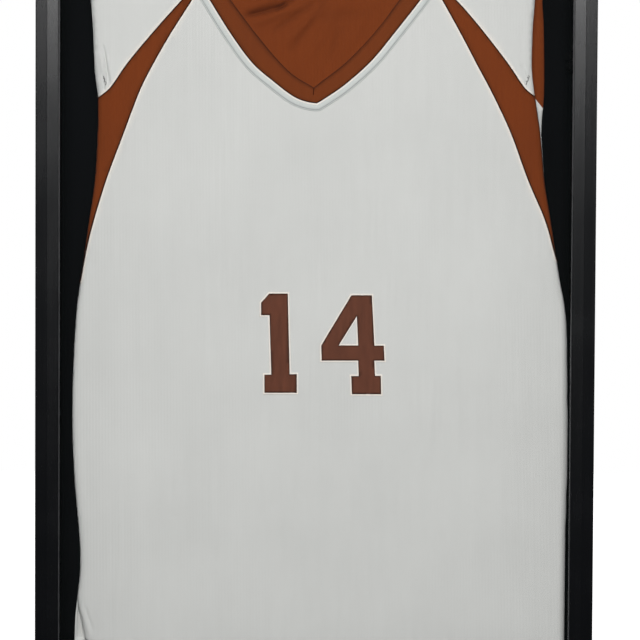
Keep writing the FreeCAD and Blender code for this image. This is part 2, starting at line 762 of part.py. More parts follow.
HEM = -375.5
NECK_LEFT = (-127, 338)
NECK_RIGHT = (125, 340)
NECK_TIP = (1.5, 210)
SEAM_LEFT = ((-134, 323), (-164, 271), (-191, 219), (-208, 178), (-228, 125), (-243, 73))
SEAM_RIGHT = ((138, 323), (167, 271), (193, 219), (212, 178), (232, 125), (248, 87))
SLEEVE_LEFT = ((-131, 348), (-146, 323), (-176, 288), (-204, 254), (-234, 219))
SLEEVE_RIGHT = ((130, 350), (155, 323), (183, 288), (209, 254), (237, 219))
EDGE_LEFT = ((-253, 25), (-261, -73), (-263, -122), (-259, -219), (-256, HEM))
EDGE_RIGHT = ((263, 25), (271, -24), (273, -122), (272, -219), (270, HEM))


def text(points):
    return tuple((str(a), str(b)) for a, b in points)


def jersey_panels():
    """Front layer: body, two side inserts and two sleeves, cut along the raglan seams."""
    front = (NECK_LEFT, NECK_TIP, NECK_RIGHT) + SEAM_RIGHT + EDGE_RIGHT
    front += tuple(reversed(EDGE_LEFT)) + tuple(reversed(SEAM_LEFT))
    plate("jersey_front", text(front), "front_layer", "cloth")
    left = SEAM_LEFT + ((-247, 73), (-239, 125), (-235, 178), (-234, 219))
    left += tuple(reversed(SLEEVE_LEFT[:4])) + ((-128, 341),)
    plate("jersey_insert_left", text(left), "front_layer", "cloth")
    right = SEAM_RIGHT + ((253, 92), (248, 125), (245, 178), (237, 219))
    right += tuple(reversed(SLEEVE_RIGHT[:4])) + ((126, 343),)
    plate("jersey_insert_right", text(right), "front_layer", "cloth")
    left = ((-243, 346), (-241, 318), (-239, 269), (-238, 221))
    left += tuple(reversed(SLEEVE_LEFT)) + ((-118, 362),)
    plate("jersey_sleeve_left", text(left), "front_layer", "cloth")
    right = ((239, 346), (238, 318), (236, 269), (238, 221))
    right += tuple(reversed(SLEEVE_RIGHT)) + ((118, 362),)
    plate("jersey_sleeve_right", text(right), "front_layer", "cloth")


def jersey_back():
    """Back layer: the full T shape, reaching a little past the front on the right sleeve."""
    shape = ((-118, 362), (-60, 353), (60, 353), (118, 362), (246, 348), (246, 222), (250, 130))
    shape += ((255, 92),) + EDGE_RIGHT + tuple(reversed(EDGE_LEFT))
    shape += ((-247, 73), (-239, 125), (-236, 178), (-238, 221), (-240, 269), (-243, 346))
    plate("jersey_back", text(shape), "back_layer", "cloth")


def collar():
    """A V-shaped band inside the neckline, and piping along the neckline's edge."""
    band = ((-124, 338), (1.5, 212.5), (121, 339), (106, 338), (1, 229), (-73, 293), (-94, 325),
            (-100, 338))
    plate("collar_band", text(band), "front_layer", "cloth")
    piping = ((-127, 337), (1.5, 209.5), (124, 339), (129.5, 334), (4, 200.5), (-1.5, 200.5),
              (-131, 330))
    plate("collar_piping", text(piping), "front_layer + cloth", "trim_thickness")


def numerals():
    """Plain block numerals on the chest."""
    one = ((-50, 4), (-29.5, 4), (-27.5, -83), (-19.5, -83), (-19.5, -104), (-55.5, -104),
           (-55.5, -84), (-48, -84), (-50, -20), (-59, -20), (-59, -6))
    plate("numeral_one", text(one), "front_layer + cloth", "trim_thickness")
    four = new_body("numeral_four")
    sketch = sketch_on(four, "XZ_Plane", "front_layer + cloth")
    outer = ((39, 2.5), (61.5, 2.5), (64.5, -52), (75, -52), (75.5, -68.5), (64.5, -68.5),
             (65, -85), (71.5, -85), (72, -105), (39.5, -105), (39, -85), (47, -85),
             (46.5, -68.5), (6.5, -68.5), (6.5, -52))
    outline(sketch, text(outer))
    outline(sketch, text(((45, -21), (46.5, -51.5), (26, -51.5))))
    pad(four, sketch, "trim_thickness")


def thread_tacks():
    """A thread tack near the end of each sleeve holds the jersey's two layers together."""
    tacks = []
    for x, z in (("-229", "233"), ("228", "236")):
        tacks.append(block(f"{x} - tack_width / 2", "-front_layer - cloth - tack_rise",
                           f"{z} - tack_length / 2", "tack_width", "tack_rise", "tack_length"))
    part(group(tacks), "thread_tacks")


def export():
    """Check every object, then write one STEP file per sub-part."""
    doc.recompute()
    for item in doc.Objects:
        if "Invalid" in item.State or "Error" in item.State:
            raise ValueError(f"{item.Label}: {item.State}")
    os.makedirs("parts", exist_ok=True)
    for item in parts:
        shape = item.Shape
        if shape.isNull() or not shape.isValid():
            raise ValueError(f"{item.Label}: bad shape")
        shape.exportStep(f"parts/{item.Label}.step")


rails = case_rails()
drill_lock_hole(rails["right"])
drill_magnet_holes(rails["right"])
drill_hinge_holes(rails["left"])
drill_rear_holes(rails["left"], "-1")
drill_rear_holes(rails["right"], "1")
door_rails()
back_boards()
bumpers()
panel_turn_buttons()
glazing()
dust_seals()
hinge_parts()
lock_parts()
keeper_parts()
catches()
jersey_rod()
hanging_parts()
jersey_back()
jersey_panels()
collar()
numerals()
thread_tacks()
export()
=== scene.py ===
import math

import bmesh
import bpy
import numpy as np
from mathutils import Matrix, Vector, noise
from mathutils.geometry import delaunay_2d_cdt


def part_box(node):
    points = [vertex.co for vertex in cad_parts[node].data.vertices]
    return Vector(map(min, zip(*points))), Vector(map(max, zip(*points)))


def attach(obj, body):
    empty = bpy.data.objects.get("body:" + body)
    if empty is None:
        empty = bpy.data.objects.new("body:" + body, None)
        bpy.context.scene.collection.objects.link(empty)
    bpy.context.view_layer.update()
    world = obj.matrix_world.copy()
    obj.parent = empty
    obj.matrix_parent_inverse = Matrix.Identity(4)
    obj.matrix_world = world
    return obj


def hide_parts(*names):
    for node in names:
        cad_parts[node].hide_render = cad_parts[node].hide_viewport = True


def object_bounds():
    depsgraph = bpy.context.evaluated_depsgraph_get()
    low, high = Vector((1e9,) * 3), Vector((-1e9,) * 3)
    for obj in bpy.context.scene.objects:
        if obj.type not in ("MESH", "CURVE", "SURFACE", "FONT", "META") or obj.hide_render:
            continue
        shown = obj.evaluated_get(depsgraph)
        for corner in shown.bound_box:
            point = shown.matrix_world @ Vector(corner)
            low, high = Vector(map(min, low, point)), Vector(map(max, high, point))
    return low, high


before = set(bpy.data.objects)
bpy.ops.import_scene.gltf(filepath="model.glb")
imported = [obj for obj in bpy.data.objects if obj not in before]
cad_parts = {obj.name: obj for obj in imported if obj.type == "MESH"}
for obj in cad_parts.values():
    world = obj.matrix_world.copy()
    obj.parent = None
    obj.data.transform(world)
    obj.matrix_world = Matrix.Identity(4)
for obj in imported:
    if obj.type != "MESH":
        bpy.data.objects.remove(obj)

# Wall-hung display frame with a sports jersey behind clear acrylic.
# Metres: +Z up, the door faces -Y, the wall is y = 0. Outlines are in millimetres.
cad_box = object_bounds()
MM = 0.001
SAME_POINT = 0.4
FAR = 1e9


def span(node):
    """A CAD node's lowest and highest corner, in millimetres."""
    low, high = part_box(node)
    return np.array(low) / MM, np.array(high) / MM


def srgb(red, green, blue):
    """An 8-bit display colour as linear RGBA."""
    channels = np.array((red, green, blue)) / 255
    linear = np.where(channels <= 0.04045, channels / 12.92, ((channels + 0.055) / 1.055) ** 2.4)
    return (*linear, 1.0)


# ---- Curves ----


def smooth(points, step=3.0):
    """A Catmull-Rom curve through the points, resampled evenly."""
    p = np.array(points, float)
    p = np.vstack((2 * p[0] - p[1], p, 2 * p[-1] - p[-2]))
    run = []
    for a, b, c, d in zip(p, p[1:], p[2:], p[3:]):
        t = np.linspace(0, 1, 24, endpoint=False)[:, None]
        run.append(0.5 * (2 * b + (c - a) * t + (2 * a - 5 * b + 4 * c - d) * t ** 2
                          + (3 * b - a - 3 * c + d) * t ** 3))
    return even(np.vstack(run + [p[-2:-1]]), step)


def travel(line):
    """The distance along a polyline to each of its points."""
    return np.concatenate(([0], np.cumsum(np.linalg.norm(np.diff(line, axis=0), axis=1))))


def resample(line, count):
    """A polyline as evenly spaced points."""
    line = np.array(line, float)
    along = travel(line)
    at = np.linspace(0, along[-1], count)
    return np.column_stack([np.interp(at, along, line[:, k]) for k in range(2)])


def even(line, step):
    """A polyline resampled at about the step."""
    return resample(line, max(2, round(travel(line)[-1] / step) + 1))


def join(*lines):
    """One closed loop from lines that follow each other."""
    loop = [lines[0][0]]
    for line in lines:
        for point in line:
            if np.linalg.norm(point - loop[-1]) > SAME_POINT:
                loop.append(point)
    if np.linalg.norm(loop[0] - loop[-1]) < 2 * SAME_POINT:
        loop.pop()
    return np.array(loop)


def distance(points, line):
    """Each point's distance from a polyline."""
    points = np.asarray(points, float).reshape(-1, 2)
    x, z = points[:, 0], points[:, 1]
    best = np.full(len(points), FAR)
    for (ax, az), (bx, bz) in zip(line, line[1:]):
        dx, dz = bx - ax, bz - az
        px, pz = x - ax, z - az
        t = np.clip((px * dx + pz * dz) / max(dx * dx + dz * dz, 1e-9), 0, 1)
        best = np.minimum(best, (px - t * dx) ** 2 + (pz - t * dz) ** 2)
    return np.sqrt(best)


def reverse(line):
    return line[::-1]


def meet(line, edge):
    """The part of a line before it reaches an edge, and then its end on that edge."""
    near = np.nonzero(distance(line, edge) < 0.9)[0]
    cut = near[0] if len(near) else len(line)
    last = line[cut - 1]
    closest = edge[np.argmin(np.linalg.norm(edge - last - (0, -3), axis=1))]
    return np.vstack((line[:cut], closest))


def inside(points, loop):
    """Which points are inside a closed loop."""
    x, z = points[:, 0], points[:, 1]
    result = np.zeros(len(points), bool)
    for (x0, z0), (x1, z1) in zip(loop, np.roll(loop, -1, axis=0)):
        if z0 == z1:
            continue
        crosses = (z0 > z) != (z1 > z)
        result ^= crosses & (x < (x1 - x0) * (z - z0) / (z1 - z0) + x0)
    return result


def side_of(line, amount):
    """A polyline moved to its left by an amount, with mitred corners."""
    step = np.diff(line, axis=0)
    step /= np.linalg.norm(step, axis=1)[:, None]
    normal = np.column_stack((-step[:, 1], step[:, 0]))
    first, last = np.vstack((normal[:1], normal)), np.vstack((normal, normal[-1:]))
    mean = first + last
    mean /= np.maximum(np.linalg.norm(mean, axis=1)[:, None], 1e-6)
    cosine = np.maximum((mean * first).sum(1), 0.35)
    return line + mean * (amount / cosine)[:, None]


# ---- Outlines of the jersey ----

front_low, front_high = span("jersey_front")
back_low, back_high = span("jersey_back")
_, sleeve_high = span("jersey_sleeve_left")
rod_low, _ = span("hanging_rod")

FRONT_Y = (front_low[1] + front_high[1]) / 2
BACK_Y = (back_low[1] + back_high[1]) / 2
MIDDLE_Y = (FRONT_Y + BACK_Y) / 2
HALF_GAP = (BACK_Y - FRONT_Y) / 2
CLOTH = 0.9
HEM_Z = front_low[2] - 1.0
SHOULDER_Z = sleeve_high[2]

NECK_TIP = (0.7, 208.1)
NECK_LEFT = smooth(((-127.9, 337.9), (-116.3, 319.2), (-94.2, 284.2), (-70.4, 252.1),
                    (-46.5, 231.4), (-26.0, 216.1), (-11.1, 210.0), NECK_TIP))
NECK_RIGHT = smooth((NECK_TIP, (10.8, 214.3), (32.7, 229.8), (61.0, 255.7), (87.7, 288.6),
                     (112.5, 320.4), (125.3, 339.2)))
NECK = np.vstack((NECK_LEFT, NECK_RIGHT[1:]))
BAND_TIP = (-2.7, 225.8)
BAND_LEFT = smooth(((-105.0, 338.0), (-91.9, 318.1), (-77.2, 298.6), (-62.0, 279.1), (-45.7, 259.6),
                    (-26.7, 240.6), BAND_TIP))
BAND_RIGHT = smooth((BAND_TIP, (6.4, 233.2), (24.5, 246.8), (38.5, 259.6), (56.8, 279.1),
                     (72.9, 298.6), (87.3, 318.1), (103.0, 339.2)))
SLEEVE_LEFT = smooth(((-127.9, 337.9), (-146.4, 319.0), (-176.5, 285.2), (-204.5, 251.4),
                      (-222.0, 226.0), (-235.3, 214.6)))
SLEEVE_RIGHT = smooth(((125.3, 341.2), (151.0, 320.6), (180.4, 287.1), (206.6, 253.5),
                       (224.5, 227.9), (235.5, 218.5)))
CUFF_LEFT = smooth(((-243.8, 347.0), (-243.4, 318.7), (-241.2, 287.0), (-239.5, 248.4),
                    (-237.4, 228.5), (-235.5, 214.7)))
CUFF_RIGHT = smooth(((236.1, 347.0), (235.0, 321.2), (232.7, 284.5), (232.4, 245.9),
                     (235.7, 218.6)))
FLANK_LEFT = ((-236.0, 215.0), (-236.5, 175.2), (-239.7, 123.4), (-247.1, 71.5), (-253.7, 22.5),
              (-259.7, -26.6), (-263.2, -111.8), (-261.6, -187.1), (-255.2, -264.5),
              (-254.8, -302.8))
FLANK_RIGHT = ((247.5, 125.9), (254.2, 86.1), (263.8, 25.2), (272.2, -23.8), (274.5, -103.9),
               (275.4, -170.2), (273.6, -268.8), (273.3, HEM_Z))
SIDE_LEFT = smooth((*FLANK_LEFT, (-257.2, -331.1), (-252.5, -355.3), (-248.4, HEM_Z)))
SIDE_RIGHT = smooth(((236.1, 219.0), (242.4, 177.7), *FLANK_RIGHT))
SEAM_LEFT = meet(smooth(((-126.0, 335.0), (-134.6, 319.1), (-157.2, 283.4), (-174.9, 252.6),
                         (-188.2, 226.7), (-198.1, 201.9), (-208.0, 175.0), (-226.8, 124.2),
                         (-242.6, 71.4), (-250.4, 36.5), (-255.1, 6.5), (-258.5, -13.4))),
                 SIDE_LEFT)
SEAM_RIGHT = meet(smooth(((123.3, 338.3), (135.0, 320.5), (154.0, 287.0), (172.6, 252.4),
                          (190.7, 218.8), (210.4, 177.2), (229.4, 126.6), (247.1, 85.9),
                          (256.3, 56.1), (265.1, 23.2))), SIDE_RIGHT)
HEM = even(((-249, HEM_Z), (270, HEM_Z)), 5)
BACK_SIDE_LEFT = smooth((*FLANK_LEFT, (-257.6, -331.1), (-259.5, -350.3), (-260.5, HEM_Z)))
BACK_CUFF_RIGHT = smooth(((243.6, 350.0), (244.2, 322.5), (246.0, 290.7), (246.8, 250.8),
                          (246.7, 217.0), (244.9, 197.0), (244.1, 173.1)))
BACK_SIDE_RIGHT = smooth(((243.5, 172.7), *FLANK_RIGHT))
SHOULDER_LEFT = smooth(((-244.3, 347.0), (-191.0, 353.5), (-135.3, SHOULDER_Z), (-125.4, 361.0)), 4)
SHOULDER_RIGHT = smooth(((121.5, 361.0), (131.4, SHOULDER_Z), (187.2, 353.5), (236.6, 347.0)), 4)
NAPE = smooth(((-125.7, 361.0), (-113.7, 352.0), (-71.7, 342.0), (-1.8, 338.0), (68.0, 342.0),
               (109.9, 352.0), (121.8, 361.0)), 4)

# Where the white of the right sleeve's tip and of the turned hem meets the brown back layer.
TIP_LINE = ((226.6, 230.0), (250.9, 199.2))
FOLD_LINE = ((-237.7, -323.3), (-269.9, -323.5))

ROLL = 7.0
HEM_ROLL = 1.6
ROLLED_EDGES = (SIDE_LEFT, SIDE_RIGHT, SHOULDER_LEFT, SHOULDER_RIGHT)
SEAMS = (SEAM_LEFT[3:-4], SEAM_RIGHT[3:-4], SLEEVE_LEFT, SLEEVE_RIGHT)
NECK_BULGE = 9.0
SEAM_DEPTH = 0.45
SEAM_REACH = 1.5
# Rows of points beside a rolled edge and beside a seam, and how far the painted shade and highlight
# along a seam reach.
ROLL_ROWS = (0.4, 0.9, 1.6, 2.4, 4.4, 6.8)
SEAM_ROW = 1.7
PAINTED_LIGHT_REACH = 1.6
# How strong the painted shade in the valleys of the creases is.
VALLEY_PAINTED_SHADE = 0.07

# Each crease: two ends, half width and height, all in millimetres.
FRONT_CREASES = (
    ((-230.6, 272), (-223.2, 226), 1.5, -2.6),
    ((-233.6, 264), (-227.4, 222), 2.2, 1.6),
    ((-227.2, 262), (-219.6, 226), 2.0, 1.3),
    ((-231.0, 243), (-228.6, 220), 1.0, -1.6),
    ((-226.8, 240), (-224.8, 218), 0.9, -1.4),
    ((221, 254), (229.4, 230), 1.8, -1.2),
    ((225.6, 250), (231.6, 226), 1.8, 1.0),
    ((-253.6, -338.0), (-243.6, -370.0), 1.5, 1.0),
    ((-250.4, -334.0), (-239.6, -366.0), 1.8, -0.7),
    ((-213.0, 192.9), (-235.8, 148.0), 5.0, 0.7),
    ((213.9, 196.1), (238.0, 160.5), 6.0, 0.7),
    ((222.6, 224.9), (197.4, 261.5), 7.0, 0.5),
)
BACK_CREASES = (
    ((-84, 301), (-30, 316), 2.8, -4.6),
    ((-46, 309), (-16, 328), 2.6, -3.0),
    ((-82, 309), (-34, 326), 4.0, 2.6),
    ((-74, 292), (-14, 316), 4.5, 2.4),
    ((-50, 284), (4, 322), 3.4, -1.9),
    ((-40, 270), (18, 322), 5.0, 2.2),
    ((-30, 262), (-2, 300), 3.4, -1.4),
    ((-8, 292), (14, 330), 3.8, -1.5),
    ((-17, 246), (34, 330), 6.0, 2.0),
    ((10, 250), (26, 292), 3.6, -1.1),
    ((31, 262), (64, 330), 6.0, 1.6),
    ((-8, 300), (62, 308), 6.0, -1.0),
    ((-258.8, -342.0), (-252.6, -376.0), 1.0, -2.2),
)


def ease(share):
    """A share from 0 to 1 that starts and ends gently."""
    return share * share * (3 - 2 * share)


def crease(points, start, end, half_width, height):
    """A soft fold that fades out towards both ends."""
    a, b = np.array(start, float), np.array(end, float)
    d = b - a
    t = ((points - a) @ d) / (d @ d)
    off = (points - a) @ np.array((-d[1], d[0])) / np.linalg.norm(d)
    fade = np.clip(1 - np.abs(2 * t - 1) ** 3, 0, 1)
    return height * fade * np.exp(-(off / half_width) ** 2)


def waviness(points, wavelength, seed):
    """Smooth noise between -1 and 1 with the given wavelength."""
    return np.array([noise.noise(Vector((x / wavelength, seed, z / wavelength)))
                     for x, z in points])


def quarter(gap):
    """How far a rolled edge has come forward, from 0 at the edge to 1."""
    t = np.clip(gap / ROLL, 0, 1)
    return np.sqrt(1 - (1 - t) ** 2)


def edge_gap(points, edges):
    """The distance from the nearest rolled edge; the hem is folded more tightly than the others."""
    sides = np.min([distance(points, edge) for edge in edges], axis=0)
    return np.minimum(sides, distance(points, HEM) * (ROLL / HEM_ROLL))


def front_y(points):
    """The middle of the jersey's front layer."""
    points = np.asarray(points, float).reshape(-1, 2)
    gap = edge_gap(points, ROLLED_EDGES)
    lift = 0.75 * waviness(points, 95, 3.1) + 0.35 * waviness(points * (1.6, 1), 38, 8.2)
    for fold in FRONT_CREASES:
        lift += crease(points, *fold)
    lift *= np.clip(gap / 9, 0.5, 1)
    seam = np.min([distance(points, line) for line in SEAMS], axis=0)
    lift -= SEAM_DEPTH * np.clip(1 - seam / SEAM_REACH, 0, 1)
    cuff = np.minimum(distance(points, CUFF_LEFT), distance(points, CUFF_RIGHT))
    lift -= 1.4 * np.clip(1 - cuff / 6, 0, 1) ** 2
    return MIDDLE_Y - HALF_GAP * quarter(gap) - lift


def back_y(points):
    """The middle of the jersey's back layer."""
    points = np.asarray(points, float).reshape(-1, 2)
    gap = edge_gap(points, (BACK_SIDE_LEFT, BACK_SIDE_RIGHT, SHOULDER_LEFT, SHOULDER_RIGHT))
    lift = 0.7 * waviness(points, 70, 5.7)
    for fold in BACK_CREASES:
        lift += crease(points, *fold)
    lift *= np.clip(gap / 14, 0.4, 1)
    opening = np.vstack((BAND_LEFT, BAND_RIGHT[1:]))
    apart = distance(points, opening)
    within = inside(points, opening)
    lift *= np.where(within, np.clip(apart / 9, 0.15, 1), np.where(points[:, 1] > 200, 0.3, 1))
    bulge = np.where(within, 1, np.clip(1 - apart / 34, 0, 1))
    below_rod = np.clip((rod_low[2] - 2 - points[:, 1]) / 17, 0, 1)
    bulge = ease(bulge) * ease(below_rod)
    return MIDDLE_Y + HALF_GAP * quarter(gap) - lift - NECK_BULGE * bulge


# ---- Meshes ----


def to_object(name, corners, faces, material):
    """A smooth mesh from points in millimetres, riding on the case."""
    mesh = bpy.data.meshes.new(name)
    mesh.from_pydata([tuple(c * MM for c in corner) for corner in corners], [],
                     [tuple(face) for face in faces])
    mesh.update()
    for polygon in mesh.polygons:
        polygon.use_smooth = True
    item = bpy.data.objects.new(name, mesh)
    bpy.context.collection.objects.link(item)
    mesh.materials.append(material)
    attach(item, "case")
    return item


def raised(flat, y):
    """Points on the jersey's plane, moved to a depth."""
    return np.column_stack((flat[:, 0], y, flat[:, 1]))


def triangulate(points, edges, rings, kind):
    """A flat mesh through all the points, as its points and faces."""
    made = delaunay_2d_cdt([Vector(p) for p in points], edges, rings, kind, 1e-4)
    return np.array([tuple(v) for v in made[0]]), made[2]


def thicken(item, amount):
    """Give a sheet its thickness, half to each side."""
    solid = item.modifiers.new("thickness", "SOLIDIFY")
    solid.thickness = amount * MM
    solid.offset = 0.0
    bpy.context.view_layer.update()
    depsgraph = bpy.context.evaluated_depsgraph_get()
    mesh = bpy.data.meshes.new_from_object(item.evaluated_get(depsgraph))
    item.modifiers.clear()
    item.data = mesh


def crease_rows(start, end, half_width):
    """Points beside a crease, close enough together to hold its shape."""
    line = even((start, end), max(1.6, half_width * 0.6))
    return [side_of(line, k * half_width * 0.5) for k in range(-4, 5)]


def painted_valley_shade(points, creases):
    """How deep in a valley each point lies, as painted shade for the cloth there."""
    depth = sum(crease(points, start, end, half_width, -VALLEY_PAINTED_SHADE * height)
                for start, end, half_width, height in creases if height < 0)
    return np.clip(depth, 0, 0.5)


def tag_painted_light(item, values):
    """Store how strongly each point takes its material's painted light: painted shade on the brown
    knits, binding and twill, a painted highlight on the white knit.
    """
    tag = item.data.attributes.new("seam", "FLOAT", "POINT")
    tag.data.foreach_set("value", np.asarray(values, np.float32))


def panel(name, loop, height, material, rolled=(), seams=(), marks=(), creases=(), spacing=5.0):
    """A piece of cloth inside a closed loop, at the depth that height gives."""
    rows = list(marks)
    for edge in rolled:
        rows += [side_of(edge, sign * reach) for reach in ROLL_ROWS for sign in (-1, 1)]
    for edge in seams:
        rows += [side_of(edge, sign * SEAM_ROW) for sign in (-1, 1)]
    for start, end, half_width, _ in creases:
        rows += crease_rows(start, end, half_width)
    low, high = loop.min(0), loop.max(0)
    xs = np.arange(low[0], high[0], spacing)
    zs = np.arange(low[1], high[1], spacing)
    grid = np.array([(x + (k % 2) * spacing / 2, z) for k, z in enumerate(zs) for x in xs])
    closed = np.vstack((loop, loop[:1]))
    grid = grid[inside(grid, loop)]
    grid = grid[distance(grid, closed) > spacing * 0.55]
    for edge in rolled:
        grid = grid[distance(grid, edge) > ROLL_ROWS[-1] + spacing * 0.4]
    for edge in seams:
        grid = grid[distance(grid, edge) > SEAM_ROW + spacing * 0.35]
    for mark in marks:
        grid = grid[distance(grid, mark) > 2.0]
    for start, end, half_width, _ in creases:
        grid = grid[distance(grid, (start, end)) > half_width * 2 + 1]
    extra = thinned(np.vstack(rows), 0.8)
    extra = extra[inside(extra, loop)]
    extra = extra[distance(extra, closed) > 0.7]
    points = np.vstack((loop, grid, extra))
    flat, faces = triangulate(points, [], [list(range(len(loop)))], 1)
    item = to_object(name, raised(flat, height(flat)), faces, material)
    # Painted light along the seams: painted shade on the brown knit, a painted highlight on the
    # white knit.
    near = np.full(len(flat), FAR)
    for edge in seams:
        near = np.minimum(near, distance(flat, edge))
    painted_light = np.clip(1.3 - near / PAINTED_LIGHT_REACH, 0, 1)
    # Painted shade in the crease valleys; where the back shows white knit, the same value paints it
    # paler.
    if material is BROWN_KNIT and creases:
        painted_light += painted_valley_shade(flat, creases)
    tag_painted_light(item, np.clip(painted_light, 0, 1))
    face_front(item)
    thicken(item, CLOTH)
    return item


def thinned(points, cell):
    """One point at most in each square cell."""
    _, kept = np.unique(np.floor(points / cell), axis=0, return_index=True)
    return points[np.sort(kept)]


def face_front(item):
    """Turn a sheet's faces towards the viewer."""
    if sum(face.normal.y * face.area for face in item.data.polygons) > 0:
        item.data.flip_normals()


def loft(name, rows, material, closed=False):
    """A surface through rows of points, each an (n, 3) array in millimetres."""
    count = len(rows[0])
    corners = np.vstack(rows)
    faces = []
    for r in range(len(rows) - 1):
        for k in range(count if closed else count - 1):
            a, b = r * count + k, r * count + (k + 1) % count
            faces.append((a, b, b + count, a + count))
    return to_object(name, corners, faces, material)


def strip_rows(line, profile, height):
    """Rows along a line: each profile entry is (offset to the left, rise towards the viewer)."""
    moved = [side_of(line, offset) for offset, _ in profile]
    return [raised(row, height(row) - rise) for row, (_, rise) in zip(moved, profile)]


def merged(name, items):
    """Several mesh objects as one."""
    bpy.ops.object.select_all(action="DESELECT")
    for item in items:
        item.select_set(True)
    bpy.context.view_layer.objects.active = items[0]
    if len(items) > 1:
        bpy.ops.object.join()
    items[0].name = name
    items[0].data.name = name
    return items[0]


# ---- Materials ----


def fill_in(node, **values):
    """Set a node's sockets, written with _ for each space."""
    for name, value in values.items():
        node.inputs[name.replace("_", " ")].default_value = value


class Surface:
    """A Principled material with helpers for its texture nodes."""

    def __init__(self, name, colour, roughness, **inputs):
        self.material = bpy.data.materials.new(name)
        self.material.use_nodes = True
        self.tree = self.material.node_tree
        self.shader = self.tree.nodes["Principled BSDF"]
        fill_in(self.shader, Base_Color=colour, Roughness=roughness, **inputs)
        self.place = self.node("ShaderNodeTexCoord").outputs["Object"]

    def node(self, kind, **settings):
        made = self.tree.nodes.new(kind)
        for key, value in settings.items():
            setattr(made, key, value)
        return made

    def link(self, source, target):
        self.tree.links.new(source, target)

    def scaled(self, scale):
        """Object coordinates stretched by a scale per axis."""
        mapping = self.node("ShaderNodeMapping")
        mapping.inputs["Scale"].default_value = scale
        self.link(self.place, mapping.inputs["Vector"])
        return mapping.outputs["Vector"]

    def noise(self, scale, detail=3.0, rough=0.5):
        made = self.node("ShaderNodeTexNoise")
        fill_in(made, Scale=1.0, Detail=detail, Roughness=rough)
        scale = scale if isinstance(scale, tuple) else (scale, scale, scale)
        self.link(self.scaled(scale), made.inputs["Vector"])
        return made.outputs["Fac"]

    def cells(self, scale):
        """The distance from the nearest of many scattered points."""
        made = self.node("ShaderNodeTexVoronoi")
        fill_in(made, Scale=1.0)
        self.link(self.scaled((scale, scale, scale)), made.inputs["Vector"])
        return made.outputs["Distance"]

    def ribs(self, direction, pitch, distortion=0.0):
        """Bands across an axis with a pitch in metres; the node runs 20 radians in a unit."""
        made = self.node("ShaderNodeTexWave", bands_direction=direction)
        fill_in(made, Scale=2 * math.pi / (20 * pitch), Distortion=distortion, Detail=1.0)
        self.link(self.place, made.inputs["Vector"])
        return made.outputs["Fac"]

    def remap(self, value, low, high, from_low=0.25, from_high=0.75):
        made = self.node("ShaderNodeMapRange")
        fill_in(made, From_Min=from_low, From_Max=from_high, To_Min=low, To_Max=high)
        self.link(value, made.inputs["Value"])
        return made.outputs["Result"]

    def math(self, operation, a, b):
        made = self.node("ShaderNodeMath", operation=operation)
        for value, socket in zip((a, b), made.inputs):
            if isinstance(value, (int, float)):
                socket.default_value = value
            else:
                self.link(value, socket)
        return made.outputs["Value"]

    def blend(self, factor, a, b):
        """A colour between a and b."""
        made = self.node("ShaderNodeMix", data_type="RGBA")
        for value, socket in zip((factor, a, b), (made.inputs[0], made.inputs[6], made.inputs[7])):
            if isinstance(value, bpy.types.NodeSocket):
                self.link(value, socket)
            else:
                socket.default_value = value
        return made.outputs[2]

    def colour(self, output):
        self.link(output, self.shader.inputs["Base Color"])

    def roughness(self, output):
        self.link(output, self.shader.inputs["Roughness"])

    def bump(self, layers):
        """Bump layers as (height output, distance in metres, strength)."""
        normal = None
        for height, reach, strength in layers:
            made = self.node("ShaderNodeBump")
            fill_in(made, Distance=reach, Strength=strength)
            self.link(height, made.inputs["Height"])
            if normal is not None:
                self.link(normal, made.inputs["Normal"])
            normal = made.outputs["Normal"]
        self.link(normal, self.shader.inputs["Normal"])

    def seam(self):
        """The painted shade and highlight stored on each point of the mesh."""
        return self.node("ShaderNodeAttribute", attribute_name="seam").outputs["Fac"]


def shade(colour, factor):
    return (colour[0] * factor, colour[1] * factor, colour[2] * factor, 1.0)


def knit(name, colour, painted_edge_light, pitch=0.0016, sheen=0.25, contrast=0.05):
    """Fine ribbed jersey knit: vertical ribs, crossing rows and slight mottling; tagged points
    blend to a second colour, which is painted light.
    """
    made = Surface(name, colour, 0.85, Sheen_Weight=sheen, Sheen_Roughness=0.45,
                   Specular_IOR_Level=0.12)
    rib = made.ribs("X", pitch)
    row = made.ribs("Z", pitch * 0.7, distortion=0.6)
    cloud = made.noise(9.0, 4.0)
    streak = made.noise((260.0, 260.0, 14.0), 2.0)
    speck = made.noise(1400.0, 2.0)
    tone = made.math("ADD", made.remap(cloud, -contrast, contrast),
                     made.remap(streak, -contrast * 0.6, contrast * 0.6))
    tone = made.math("ADD", tone, made.remap(speck, -contrast * 0.5, contrast * 0.5))
    tone = made.math("ADD", tone, made.remap(rib, -contrast * 0.5, contrast * 0.3, 0, 1))
    tone = made.remap(tone, 0, 1, -0.25, 0.25)
    body = made.blend(tone, shade(colour, 0.78), shade(colour, 1.22))
    # Painted light: tagged points blend towards the second colour.
    made.colour(made.blend(made.seam(), body, painted_edge_light))
    made.roughness(made.remap(cloud, 0.78, 0.92))
    made.bump([(rib, 0.0003, 0.35), (row, 0.0002, 0.2), (speck, 0.0002, 0.25)])
    return made.material


